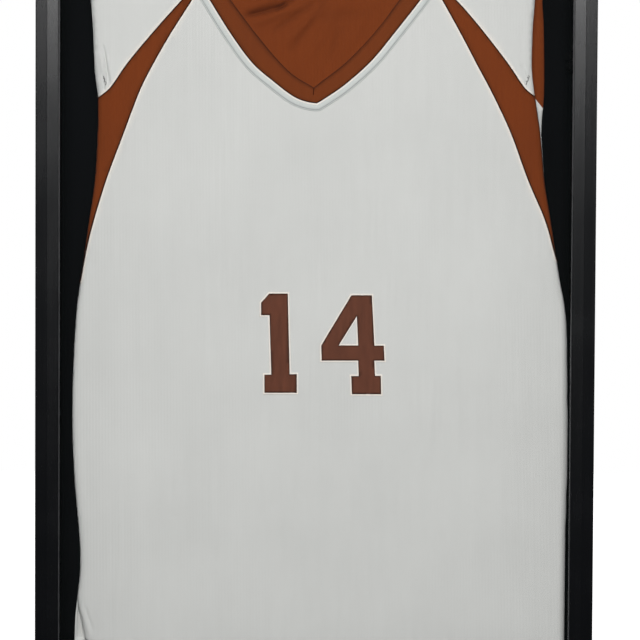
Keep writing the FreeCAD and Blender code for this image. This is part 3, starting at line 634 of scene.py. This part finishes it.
def lacquer(name, lip=None):
    """Satin black lacquer with faint grain, and a painted highlight along the moulding's inner lip.
    """
    black = srgb(7, 8, 10)
    made = Surface(name, black, 0.27, Specular_IOR_Level=0.265)
    grain = made.noise((900.0, 900.0, 900.0), 3.0)
    long_grain = made.noise((160.0, 160.0, 5.0), 3.0, 0.6)
    patch = made.noise(14.0, 3.0)
    worn = made.math("MULTIPLY", made.remap(patch, 0, 1, 0.5, 0.75),
                     made.remap(grain, 0, 1, 0.52, 0.7))
    paint = made.blend(made.math("MULTIPLY", worn, 0.35), black, srgb(40, 40, 42))
    if lip:
        # Painted highlight along the sight edge, broken up by noise.
        place = made.node("ShaderNodeSeparateXYZ")
        made.link(made.place, place.inputs["Vector"])
        beyond = [made.math("SUBTRACT", made.math("ABSOLUTE", place.outputs[axis], 0), reach)
                  for axis, reach in zip("XZ", lip)]
        near = made.remap(made.math("MAXIMUM", *beyond), 1, 0, 0.0004, 0.0013)
        lip_highlight = made.math("MULTIPLY", near, made.remap(made.noise(55.0, 3.0), 0.45, 1))
        paint = made.blend(lip_highlight, paint, srgb(60, 60, 62))
    made.colour(paint)
    made.roughness(made.math("ADD", made.remap(patch, 0.25, 0.29),
                             made.remap(long_grain, -0.015, 0.015)))
    made.bump([(long_grain, 0.0002, 0.05), (grain, 0.0001, 0.12)])
    return made.material


def clear_acrylic():
    return Surface("clear_acrylic", (0.008, 0.01, 0.01, 1), 0.04, Alpha=0.12, IOR=1.49,
                   Specular_IOR_Level=0.6).material


def velvet():
    """Black velvet: a fine brushed pile with a little lint."""
    black = srgb(5, 5, 7)
    made = Surface("black_velvet", black, 0.95, Sheen_Weight=0.01, Sheen_Roughness=0.4,
                   Specular_IOR_Level=0.05)
    pile = made.noise(1700.0, 2.0)
    brushed = made.noise((22.0, 22.0, 7.0), 4.0)
    fleck = made.remap(made.cells(95.0), 1, 0, 0.02, 0.045)
    patchy = made.remap(made.noise(26.0, 2.0), 0, 1, 0.6, 0.66)
    soft = made.blend(made.remap(brushed, 0, 1), shade(black, 0.65), shade(black, 1.7))
    soft = made.blend(made.remap(pile, 0, 0.25), soft, srgb(16, 16, 18))
    made.colour(made.blend(made.math("MULTIPLY", fleck, patchy), soft, srgb(96, 96, 98)))
    made.roughness(made.remap(pile, 0.88, 1.0))
    made.bump([(pile, 0.0004, 0.5), (brushed, 0.001, 0.2)])
    return made.material


def brushed_metal(name, colour, roughness, axis="Z"):
    """Drawn or plated metal with fine streaks and slight tarnish."""
    made = Surface(name, colour, roughness, Metallic=1.0)
    stretch = {"X": (12.0, 900.0, 900.0), "Y": (900.0, 12.0, 900.0), "Z": (900.0, 900.0, 12.0)}
    streak = made.noise(stretch[axis], 3.0)
    patch = made.noise(120.0, 4.0)
    made.colour(made.blend(made.remap(patch, 0, 1, 0.3, 0.7), shade(colour, 0.8), colour))
    made.roughness(made.math("ADD", made.remap(streak, roughness - 0.06, roughness + 0.06),
                             made.remap(patch, 0, 0.08)))
    made.bump([(streak, 0.0001, 0.15)])
    return made.material


def moulded(name, colour, roughness, grain=900.0, depth=0.0001, **inputs):
    """Moulded plastic or rubber with a fine grain."""
    made = Surface(name, colour, roughness, **inputs)
    fine = made.noise(grain, 3.0)
    patch = made.noise(60.0, 3.0)
    made.colour(made.blend(made.remap(patch, 0, 1), shade(colour, 0.85), shade(colour, 1.15)))
    made.roughness(made.remap(fine, roughness - 0.06, roughness + 0.08))
    made.bump([(fine, depth, 0.35)])
    return made.material


def foam():
    """Open-cell foam strip."""
    grey = srgb(38, 38, 40)
    made = Surface("grey_foam", grey, 0.95)
    cell = made.cells(1600.0)
    # Painted shade in the pits of the cells.
    made.colour(made.blend(made.remap(cell, 0, 1, 0, 0.6), shade(grey, 0.4), shade(grey, 1.3)))
    made.roughness(made.remap(cell, 0.98, 0.85, 0, 0.6))
    made.bump([(cell, 0.0004, 0.6)])
    return made.material


def hardboard():
    """Brown hardboard with pressed fibres."""
    brown = srgb(122, 88, 58)
    made = Surface("hardboard", brown, 0.7)
    fibre = made.noise((420.0, 420.0, 90.0), 5.0, 0.65)
    fleck = made.noise(1300.0, 3.0)
    patch = made.noise(7.0, 4.0)
    tone = made.blend(made.remap(fibre, 0, 1, 0.3, 0.7), shade(brown, 0.6), shade(brown, 1.35))
    tone = made.blend(made.remap(patch, 0, 0.4), tone, srgb(96, 70, 50))
    dark = made.remap(fleck, 0, 0.8, 0.62, 0.72)
    made.colour(made.blend(dark, tone, srgb(60, 42, 30)))
    made.roughness(made.remap(fibre, 0.55, 0.82))
    made.bump([(fibre, 0.0003, 0.3), (fleck, 0.0002, 0.3)])
    return made.material


def board_paper():
    """Off-white paper of the backing board."""
    pale = srgb(214, 210, 200)
    made = Surface("board_paper", pale, 0.85)
    fibre = made.noise(700.0, 4.0)
    patch = made.noise(12.0, 3.0)
    made.colour(made.blend(made.remap(patch, 0, 1), shade(pale, 0.9), pale))
    made.roughness(made.remap(fibre, 0.78, 0.92))
    made.bump([(fibre, 0.0002, 0.2)])
    return made.material


def twill(name, colour):
    """Numeral fabric: diagonal twill with slight vertical mottling, and painted shade at tagged
    points along its outline.
    """
    made = Surface(name, colour, 0.75, Sheen_Weight=0.03, Specular_IOR_Level=0.25)
    line = made.ribs("DIAGONAL", 0.0011)
    streak = made.noise((170.0, 170.0, 30.0), 4.0, 0.6)
    fine = made.noise(1500.0, 2.0)
    tone = made.math("ADD", made.remap(streak, 0, 0.8, 0.3, 0.7), made.remap(line, 0, 0.2, 0, 1))
    body = made.blend(tone, shade(colour, 0.8), shade(colour, 1.22))
    made.colour(made.blend(made.seam(), body, shade(colour, 0.35)))
    made.roughness(made.remap(fine, 0.68, 0.84))
    made.bump([(line, 0.0002, 0.4), (fine, 0.0002, 0.2)])
    return made.material


def thread(name, colour, dark=0.82, light=1.1, sheen=0.2):
    """Stitching and bound edges, with the threads lying across."""
    made = Surface(name, colour, 0.7, Sheen_Weight=sheen, Specular_IOR_Level=0.02 + 1.4 * sheen)
    twist = made.ribs("DIAGONAL", 0.0006, distortion=0.5)
    patch = made.noise(220.0, 3.0)
    tone = made.math("ADD", made.remap(twist, 0, 0.6, 0, 1), made.remap(patch, 0, 0.4))
    made.colour(made.blend(tone, shade(colour, dark), shade(colour, light)))
    made.roughness(made.remap(patch, 0.6, 0.8))
    made.bump([(twist, 0.0002, 0.5)])
    return made.material


# Each knit's second colour is painted light at tagged points: a painted highlight on the white
# knit, painted shade on the brown knit, the collar band and the binding.
WHITE_KNIT = knit("white_knit", srgb(218, 219, 216), srgb(255, 244, 232), contrast=0.035)
BROWN_KNIT = knit("brown_knit", srgb(121, 56, 20), srgb(20, 7, 2), sheen=0.02, contrast=0.06)
COLLAR_KNIT = knit("collar_knit", srgb(117, 56, 22), srgb(34, 13, 5), pitch=0.0013,
                   sheen=0.02, contrast=0.06)
BINDING = knit("binding_knit", srgb(214, 218, 215), srgb(150, 154, 154), pitch=0.0011,
               contrast=0.03)
NUMERAL = twill("numeral_twill", srgb(101, 57, 39))
# Cream set paler than the white knit: a painted highlight on the raised welts and on the numerals'
# borders.
WELT_HIGHLIGHT = thread("welt_highlight_thread", srgb(255, 247, 237), 0.93, 1.0)
# Dark thread that also stands in for the shade line along the seams: painted shade.
SEAM_SHADE_THREAD = thread("seam_shade_thread", srgb(42, 14, 3), sheen=0.0)
GREY_THREAD = thread("grey_thread", srgb(168, 170, 168))
DARK_THREAD = thread("tack_thread", srgb(96, 96, 94), sheen=0.05)
VELVET = velvet()
LACQUER = lacquer("black_lacquer")
SIGHT_EDGE = (-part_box("door_rail_left")[1][0], -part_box("door_rail_bottom")[1][2])
MOULDING = lacquer("moulding_lacquer", SIGHT_EDGE)
ACRYLIC = clear_acrylic()
NICKEL = brushed_metal("nickel_steel", srgb(176, 174, 168), 0.32)
SCREW = brushed_metal("screw_steel", srgb(190, 188, 184), 0.28, "X")
CHROME = brushed_metal("lock_chrome", srgb(214, 214, 216), 0.14, "X")
ZINC = brushed_metal("zinc_steel", srgb(182, 184, 186), 0.36)
MAGNET = brushed_metal("magnet_nickel", srgb(150, 150, 152), 0.4, "Y")
ALUMINIUM = brushed_metal("aluminium_rod", srgb(196, 198, 200), 0.3, "X")
BLACK_STEEL = moulded("black_steel", srgb(4, 4, 5), 0.85, 1400.0, 0.0001,
                      Specular_IOR_Level=0.08)
STRIP = moulded("glazing_strip", srgb(24, 24, 25), 0.55)
SOCKET = moulded("socket_plastic", srgb(30, 30, 32), 0.45)
RUBBER = moulded("bumper_rubber", srgb(40, 40, 42), 0.8, 1500.0, 0.0002)
FOAM = foam()
HARDBOARD = hardboard()
PAPER = board_paper()

FINISHES = {
    prefix: finish for finish, prefixes in (
        (MOULDING, "door_rail"), (LACQUER, "case_rail"), (ACRYLIC, "acrylic_pane"),
        (STRIP, "glazing_strip"), (HARDBOARD, "back_panel"), (PAPER, "backing_board"),
        (VELVET, "velvet_lining"), (FOAM, "dust_seals"), (RUBBER, "wall_bumpers"),
        (ALUMINIUM, "hanging_rod"), (SOCKET, "rod_sockets"), (MAGNET, "catch_magnets"),
        (CHROME, "lock_barrel lock_plug"),
        (NICKEL, "hinge_case_leaves hinge_door_leaves hinge_pins"),
        (SCREW, "hinge_case_screws hinge_door_screws turn_button_screws hanging_strap_screws"),
        (ZINC, "turn_buttons catch_strikes hanging_ring hanging_straps"),
        (BLACK_STEEL, "lock_nut lock_cam cam_screw lock_keeper keeper_screws"))
    for prefix in prefixes.split()}


def finish_nodes():
    """Give every CAD node that stays in view its detailed material."""
    for name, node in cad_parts.items():
        matches = [key for key in FINISHES if name.startswith(key)]
        for slot in node.material_slots if matches else ():
            slot.material = FINISHES[max(matches, key=len)]


# ---- The jersey ----


def declare(node):
    """Hide the CAD node that a sheet stands for."""
    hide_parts(node)


SLENDER = 0.35


def shoelace(loop):
    """A closed loop's area, in square metres."""
    x, z = loop[:, 0], loop[:, 1]
    return abs(np.dot(x, np.roll(z, -1)) - np.dot(z, np.roll(x, -1))) / 2 * MM * MM


def cut_size(loop):
    """The smallest rectangle that a piece can be cut from, in metres."""
    sizes = []
    for angle in np.radians(np.arange(0, 90, 3)):
        turn = np.array(((math.cos(angle), -math.sin(angle)), (math.sin(angle), math.cos(angle))))
        sizes.append(np.ptp(loop @ turn, axis=0) * MM)
    return tuple(float(side) for side in min(sizes, key=np.prod))


def cloth(name, node, slot, loop, height, material, **options):
    """A panel of the jersey, whose CAD node is then hidden."""
    item = panel(name, loop, height, material, **options)
    width, length = sorted(cut_size(loop))
    area = shoelace(loop)
    if area < SLENDER * width * length:
        declare(node)
    else:
        declare(node)
    return item


def build_front():
    left = SIDE_LEFT[SIDE_LEFT[:, 1] < SEAM_LEFT[-1, 1] - 1]
    right = SIDE_RIGHT[SIDE_RIGHT[:, 1] < SEAM_RIGHT[-1, 1] - 1]
    loop = join(NECK_LEFT[1:], NECK_RIGHT[:-1], SEAM_RIGHT, right, reverse(HEM), reverse(left),
                reverse(SEAM_LEFT))
    cloth("cloth_front", "jersey_front", "jersey_white", loop, front_y, WHITE_KNIT,
          rolled=(SIDE_LEFT, SIDE_RIGHT, HEM), seams=(SEAM_LEFT, SEAM_RIGHT),
          creases=FRONT_CREASES)


def build_inserts():
    for side, seam, sleeve, edge in (("left", SEAM_LEFT, SLEEVE_LEFT, SIDE_LEFT),
                                     ("right", SEAM_RIGHT, SLEEVE_RIGHT, SIDE_RIGHT)):
        above = edge[edge[:, 1] > seam[-1, 1] + 1]
        loop = join(seam, reverse(above), reverse(sleeve))
        cloth(f"cloth_insert_{side}", f"jersey_insert_{side}", "jersey_brown", loop, front_y,
              BROWN_KNIT, rolled=(edge,), seams=(seam, sleeve), spacing=4.5)


def build_sleeves():
    for side, cuff, sleeve, top, shoulder in (
            ("left", CUFF_LEFT, SLEEVE_LEFT, reverse(SHOULDER_LEFT), SHOULDER_LEFT),
            ("right", CUFF_RIGHT, SLEEVE_RIGHT, SHOULDER_RIGHT, SHOULDER_RIGHT)):
        loop = join(cuff, reverse(sleeve), top)
        cloth(f"cloth_sleeve_{side}", f"jersey_sleeve_{side}", "jersey_white", loop, front_y,
              WHITE_KNIT, rolled=(shoulder,), seams=(sleeve,), creases=FRONT_CREASES,
              spacing=4.5)


def build_back():
    loop = join(NAPE, SHOULDER_RIGHT, BACK_CUFF_RIGHT, BACK_SIDE_RIGHT, reverse(HEM),
                reverse(BACK_SIDE_LEFT), reverse(CUFF_LEFT), SHOULDER_LEFT)
    item = cloth("cloth_back", "jersey_back", "jersey_back", loop, back_y, BROWN_KNIT,
                 rolled=(BACK_SIDE_LEFT, BACK_SIDE_RIGHT, HEM), spacing=5.5,
                 marks=(even(TIP_LINE, 1.2), even(FOLD_LINE, 1.2)), creases=BACK_CREASES)
    item.data.materials.append(WHITE_KNIT)
    (tip_x, tip_z), (end_x, end_z) = TIP_LINE
    slope = (end_z - tip_z) / (end_x - tip_x)
    for face in item.data.polygons:
        x, _, z = face.center / MM
        hem_fold = x < FOLD_LINE[0][0] and z < FOLD_LINE[1][1]
        sleeve_tip = x > tip_x + 1.4 and z < tip_z + (x - tip_x) * slope
        face.material_index = 1 if hem_fold or sleeve_tip else 0


def arch(half_width, rise, turns):
    """A half ellipse as (offset, rise) pairs."""
    angles = [math.pi * k / turns for k in range(turns + 1)]
    return [(half_width * math.cos(angle), rise * math.sin(angle)) for angle in angles]


def tube_rows(line, half_width, rise, height):
    """Rows of a flattened round cord along a line on the cloth."""
    return strip_rows(line, arch(half_width, rise, 8), height)


def build_collar():
    """The collar band between the neckline and its inner seam."""
    left_outer, right_outer, left_inner, right_inner = (
        resample(line, 110) for line in (NECK_LEFT, NECK_RIGHT, BAND_LEFT, BAND_RIGHT))
    outer = np.vstack((left_outer, right_outer[1:]))
    inner = np.vstack((left_inner, right_inner[1:]))
    profile = ((0.0, 0.2), (0.08, 0.75), (0.25, 1.0), (0.5, 1.05), (0.75, 0.95), (0.92, 0.7),
               (0.97, 0.1), (1.0, -0.5))
    base = front_y(outer) + 1.4
    rows = [raised(outer + (inner - outer) * share, base - rise) for share, rise in profile]
    band = loft("cloth_collar_band", rows, COLLAR_KNIT)
    # Painted shade along both edges of the band, darkest beside the binding and at the inner edge.
    tag_painted_light(band, np.repeat((1, 0.35, 0, 0, 0, 0.3, 0.6, 0.7), len(outer)))
    face_front(band)
    thicken(band, 0.7)
    loop = join(left_outer, right_outer, reverse(right_inner), reverse(left_inner))
    declare("collar_band")


BINDING_WIDTH = 7.6


def build_binding():
    """White binding folded over the neckline, with its raised edge and topstitching."""
    line = even(NECK, 2.5)
    profile = ((0.5, -0.9), (0.75, -0.1), (0.5, 0.75), (-0.4, 1.15), (-2.0, 1.25),
               (-4.0, 1.2), (-5.6, 1.0), (-6.1, 0.75), (-6.6, 1.0), (-7.3, 0.95),
               (-BINDING_WIDTH, 0.55), (-BINDING_WIDTH - 0.1, 0.3))
    rows = strip_rows(line, profile, front_y)
    item = loft("cloth_binding", rows, BINDING)
    # Painted shade in the topstitch channel and along the binding's tucked inner edge.
    tag_painted_light(item, np.repeat((0, 0, 0, 0, 0, 0, 0.3, 1, 0.3, 0, 0.6, 1), len(line)))
    face_front(item)
    thicken(item, 0.35)
    declare("collar_piping")


def build_stitching():
    """The topstitching of the neck's binding, stitch by stitch."""
    length, gap, radius, rise = 2.1, 0.9, 0.24, 0.95
    path = even(side_of(NECK, -6.1), length + gap)
    along = np.diff(path, axis=0)
    along /= np.linalg.norm(along, axis=1)[:, None]
    starts, ends = path[:-1], path[:-1] + along * length
    first_y, last_y = front_y(starts) - rise, front_y(ends) - rise
    stations = ((0.0, 0.25, 0.0), (0.18, 0.85, 0.8), (0.5, 1.0, 1.0), (0.82, 0.85, 0.8),
                (1.0, 0.25, 0.0))
    corners, faces = [], []
    for a, b, d, ya, yb in zip(starts, ends, along, first_y, last_y):
        start = len(corners)
        for share, girth, lift in stations:
            centre = a + (b - a) * share
            y = ya + (yb - ya) * share - radius * 0.6 * lift
            for k in range(6):
                angle = math.pi * k / 3
                aside = radius * girth * math.cos(angle)
                corners.append((centre[0] - d[1] * aside, y - radius * girth * math.sin(angle),
                                centre[1] + d[0] * aside))
        for ring in range(len(stations) - 1):
            for k in range(6):
                p, q = start + ring * 6 + k, start + ring * 6 + (k + 1) % 6
                faces.append((p, q, q + 6, p + 6))
    item = to_object("neck_topstitch", corners, faces, GREY_THREAD)


def build_tacks():
    """Loose loops of thread through each sleeve, where its two layers are tacked together."""
    loops = []
    low, high = span("thread_tacks")
    for side, x, z in (("left", low[0], low[2]), ("right", high[0], high[2])):
        inward = 1 if side == "left" else -1
        for k, (shift, drop, reach) in enumerate(((0, 0, 2.6), (1.5, -3.6, 2.2), (-0.9, 2.7, 1.6))):
            loop_x = x + inward * 0.4 + inward * shift
            loop_z = z + inward * 2.5 + drop
            line = smooth(((loop_x - 0.5, loop_z + reach), (loop_x + 0.7, loop_z + reach * 0.3),
                           (loop_x - 0.3, loop_z - reach)), 0.5)
            rows = tube_rows(line, 0.42, 0.4, lambda p: front_y(p) - CLOTH / 2 - 0.05)
            loops.append(loft(f"tack_{side}_{k}", rows, DARK_THREAD))
    item = merged("tack_loops", loops)
    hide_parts("thread_tacks")


def build_welts():
    """Raised cream edges along the raglan seams and the neckline, coloured paler than the white
    knit beside them: partly a painted highlight.
    """
    items = []
    for index, (line, offset, rise) in enumerate((
            (SEAM_LEFT, 0.7, 0.4), (SEAM_RIGHT, -0.7, 0.4), (SLEEVE_LEFT, -0.7, 0.4),
            (SLEEVE_RIGHT, 0.7, 0.4), (NECK, -0.3, 1.05))):
        moved = side_of(even(line, 3.0), offset)
        rows = tube_rows(moved, 0.85, 0.45, lambda p, rise=rise: front_y(p) - rise)
        items.append(loft(f"welt_{index}", rows, WELT_HIGHLIGHT))
    merged("seam_welts", items)


def build_seam_shade_threads():
    """Dark thread on the brown side of each seam, and the mitre at the collar's tip: real
    stitching, made dark to stand in for the seam's shade line, which is painted shade.
    """
    items = []
    for index, (line, offset, rise) in enumerate((
            (SEAM_LEFT, -0.7, 0.3), (SEAM_RIGHT, 0.7, 0.3), (SLEEVE_LEFT, 0.7, 0.3),
            (SLEEVE_RIGHT, -0.7, 0.3), (NECK, 1.25, -0.2))):
        moved = side_of(even(line, 3.0), offset)
        rows = tube_rows(moved, 0.62, 0.4, lambda p, rise=rise: front_y(p) - rise)
        items.append(loft(f"seam_shade_thread_{index}", rows, SEAM_SHADE_THREAD))
    mitre = even((BAND_TIP, (BAND_TIP[0] - 0.6, BAND_TIP[1] - 7.5)), 1.0)
    items.append(loft("collar_mitre", tube_rows(mitre, 0.4, 0.25, lambda p: front_y(p) + 0.1),
                      SEAM_SHADE_THREAD))
    merged("seam_shade_threads", items)


def closed_offset(loop, amount):
    """A closed polygon grown by an amount, with mitred corners."""
    ahead = np.roll(loop, -1, axis=0) - loop
    ahead /= np.linalg.norm(ahead, axis=1)[:, None]
    normal = np.column_stack((ahead[:, 1], -ahead[:, 0]))
    before = np.roll(normal, 1, axis=0)
    mean = normal + before
    mean /= np.linalg.norm(mean, axis=1)[:, None]
    cosine = np.maximum((mean * normal).sum(1), 0.4)
    x, z = loop[:, 0], loop[:, 1]
    turn = np.sign(np.dot(x, np.roll(z, -1)) - np.dot(z, np.roll(x, -1)))
    return loop + mean * (turn * amount / cosine)[:, None]


ONE = np.array(((-50.1, 3.7), (-29.6, 3.8), (-27.1, -83.6), (-19.4, -83.5), (-19.3, -104.2),
                (-54.8, -104.4), (-55.0, -84.2), (-47.5, -84.2), (-49.7, -20.3), (-58.8, -20.3),
                (-58.9, -6.4)), float)
FOUR = np.array(((38.9, 2.3), (61.4, 2.4), (64.5, -52.1), (74.8, -52.1), (75.6, -68.8),
                 (64.6, -68.8), (65.3, -84.8), (71.6, -84.8), (72.2, -105.3), (40.0, -105.4),
                 (39.1, -85.2), (47.2, -85.2), (46.6, -68.9), (6.9, -69.1), (6.5, -52.2)), float)
FOUR_HOLE = np.array(((44.9, -21.2), (46.5, -52.0), (25.9, -52.1)), float)
TWILL_RISE = CLOTH / 2 + 0.35
TWILL_STEP = 3.0


def numeral_fill(name, outlines):
    """Twill inside the first outline, less any hole, just proud of the front panel."""
    rings = [insert_corners(outline, TWILL_STEP) for outline in outlines]
    edge, holes = rings[0], outlines[1:]
    low, high = outlines[0].min(0), outlines[0].max(0)
    grid = np.array([(x, z) for x in np.arange(low[0], high[0], TWILL_STEP)
                     for z in np.arange(low[1], high[1], TWILL_STEP)])
    grid = grid[inside(grid, edge)]
    for ring in rings:
        grid = grid[distance(grid, np.vstack((ring, ring[:1]))) > TWILL_STEP / 2]
    for hole in holes:
        grid = grid[~inside(grid, hole)]
    edges = []
    for ring in rings:
        start, count = len(edges), len(ring)
        edges += [(start + k, start + (k + 1) % count) for k in range(count)]
    flat, faces = triangulate(np.vstack((*rings, grid)), edges, [], 0)
    centres = np.array([flat[list(face)].mean(0) for face in faces])
    wanted = inside(centres, edge)
    for hole in holes:
        wanted &= ~inside(centres, hole)
    kept = [face for face, keep in zip(faces, wanted) if keep]
    item = to_object(name, raised(flat, front_y(flat) - TWILL_RISE), kept, NUMERAL)
    # Painted shade along the twill's outline, beside the raised border.
    near = np.min([distance(flat, np.vstack((ring, ring[:1]))) for ring in rings], axis=0)
    tag_painted_light(item, np.clip(1 - near / 1.4, 0, 1))
    tidy_loose(item)
    face_front(item)
    thicken(item, 0.5)
    return item


def tidy_loose(item):
    """Delete the points that no face uses."""
    mesh = bmesh.new()
    mesh.from_mesh(item.data)
    loose = [v for v in mesh.verts if not v.link_faces]
    bmesh.ops.delete(mesh, geom=loose, context="VERTS")
    mesh.to_mesh(item.data)
    mesh.free()


def insert_corners(loop, step):
    """A polygon's sides divided, with its corners kept."""
    points = []
    for a, b in zip(loop, np.roll(loop, -1, axis=0)):
        count = max(1, round(np.linalg.norm(b - a) / step))
        points += [a + (b - a) * k / count for k in range(count)]
    return np.array(points)


def numeral_border(name, loop, aside):
    """Satin-stitched cream edge beside an outline, outside it or, for a hole, inside it."""
    rows = []
    for offset, rise in arch(0.95, 0.55, 6):
        grown = closed_offset(loop, offset + aside)
        moved = []
        for a, b, start, end in zip(grown, np.roll(grown, -1, axis=0),
                                    loop, np.roll(loop, -1, axis=0)):
            parts = max(1, round(np.linalg.norm(end - start) / 4.0))
            moved += [a + (b - a) * k / parts for k in range(parts)]
        moved = np.array(moved)
        rows.append(raised(moved, front_y(moved) - TWILL_RISE - rise + 0.1))
    # The border's pale cream is partly a painted highlight along the raised edge.
    item = loft(name, rows, WELT_HIGHLIGHT, closed=True)
    face_front(item)
    return item


def build_numerals():
    for name, node, outlines in (("numeral_1", "numeral_one", (ONE,)),
                                 ("numeral_4", "numeral_four", (FOUR, FOUR_HOLE))):
        fill = numeral_fill(f"cloth_{name}", outlines)
        declare(node)
        borders = [numeral_border(f"{name}_edge_{k}", outline, -0.5 if k else 0.5)
                   for k, outline in enumerate(outlines)]
        merged(f"{name}_border", borders)


def build_velvet():
    """Velvet stretched over the backing board."""
    low, high = span("velvet_lining")
    count_x, count_z = 60, 80
    xs = np.linspace(low[0], high[0], count_x)
    zs = np.linspace(low[2], high[2], count_z)
    flat = np.array([(x, z) for z in zs for x in xs])
    corners = raised(flat, (low[1] + high[1]) / 2 + 0.12 * waviness(flat, 60, 1.4))
    item = loft("cloth_velvet", list(corners.reshape(count_z, count_x, 3)), VELVET)
    face_front(item)
    thicken(item, 0.35)
    declare("velvet_lining")


def build_jersey():
    build_velvet()
    build_back()
    build_front()
    build_inserts()
    build_sleeves()
    build_collar()
    build_binding()
    build_welts()
    build_seam_shade_threads()
    build_stitching()
    build_tacks()
    build_numerals()


# ---- Studio ----


def build_floor():
    """A pale floor that neither lights the object nor shows in its gloss."""
    low, _ = cad_box
    bpy.ops.mesh.primitive_grid_add(x_subdivisions=2, y_subdivisions=2, size=4.0,
                                    location=(0, 0, low[2] - 0.002))
    floor = bpy.context.active_object
    floor.name = "floor"
    made = Surface("pale_floor", (0.86, 0.86, 0.86, 1), 0.9, Specular_IOR_Level=0.0,
                   Emission_Color=(1, 1, 1, 1), Emission_Strength=0.5)
    floor.data.materials.append(made.material)
    floor.visible_glossy = False
    floor.visible_diffuse = False


def build_world():
    """White where it is seen directly, dim as a light and dimmer in reflections."""
    world = bpy.data.worlds.new("studio")
    bpy.context.scene.world = world
    world.use_nodes = True
    tree = world.node_tree
    tree.nodes.clear()
    path = tree.nodes.new("ShaderNodeLightPath")
    seen, fill, dark = (tree.nodes.new("ShaderNodeBackground") for _ in range(3))
    for node, strength in ((seen, 1.0), (fill, 0.14), (dark, 0.02)):
        fill_in(node, Color=(1, 1, 1, 1), Strength=strength)
    glossy, camera = (tree.nodes.new("ShaderNodeMixShader") for _ in range(2))
    output = tree.nodes.new("ShaderNodeOutputWorld")
    for source, target in (
            (path.outputs["Is Glossy Ray"], glossy.inputs["Fac"]),
            (fill.outputs[0], glossy.inputs[1]), (dark.outputs[0], glossy.inputs[2]),
            (path.outputs["Is Camera Ray"], camera.inputs["Fac"]),
            (glossy.outputs[0], camera.inputs[1]), (seen.outputs[0], camera.inputs[2]),
            (camera.outputs[0], output.inputs["Surface"])):
        tree.links.new(source, target)


def area_light(name, place, target, width, height, power):
    """A rectangular lamp, with its power in watts."""
    data = bpy.data.lights.new(name, "AREA")
    data.shape = "RECTANGLE"
    data.size = width
    data.size_y = height
    data.energy = power
    lamp = bpy.data.objects.new(name, data)
    bpy.context.collection.objects.link(lamp)
    lamp.location = place
    lamp.rotation_euler = (Vector(target) - Vector(place)).to_track_quat("-Z", "Y").to_euler()
    return lamp


def build_lights():
    area_light("key", (0, -2.5, 1.0), (0, -0.05, 0), 2.2, 0.5, 86)
    fill = area_light("fill", (0, -2.5, -0.25), (0, -0.05, -0.2), 1.6, 0.2, 13)
    fill.visible_glossy = False
    area_light("rear", (0.4, 2.2, 1.6), (0, 0, 0), 1.8, 1.2, 45)
    area_light("side_left", (-2.4, -0.6, 0.8), (0, 0, 0), 1.2, 1.2, 12)
    area_light("side_right", (2.4, -0.6, 0.8), (0, 0, 0), 1.2, 1.2, 12)


CAMERA_DISTANCE = 2.2
CAMERA_ELEVATION = math.radians(1.7)
CAMERA_ROLL = math.radians(0.3)
CAMERA_LENS = 115.6
CAMERA_AIM_X, CAMERA_AIM_Z = 0.0052, -0.0241


def build_camera():
    low, _ = cad_box
    target = Vector((CAMERA_AIM_X, low[1], CAMERA_AIM_Z))
    back = Vector((0, -math.cos(CAMERA_ELEVATION), math.sin(CAMERA_ELEVATION)))
    data = bpy.data.cameras.new("camera")
    data.lens = CAMERA_LENS
    data.sensor_width = 36
    camera = bpy.data.objects.new("camera", data)
    bpy.context.collection.objects.link(camera)
    camera.location = target + back * CAMERA_DISTANCE
    aim = (-back).to_track_quat("-Z", "Y").to_matrix().to_4x4()
    roll = Matrix.Rotation(CAMERA_ROLL, 4, "Z")
    camera.matrix_world = Matrix.Translation(camera.location) @ aim @ roll
    bpy.context.scene.camera = camera


finish_nodes()
build_jersey()
build_floor()
build_world()
build_lights()
build_camera()
bpy.context.scene.view_settings.view_transform = "Standard"
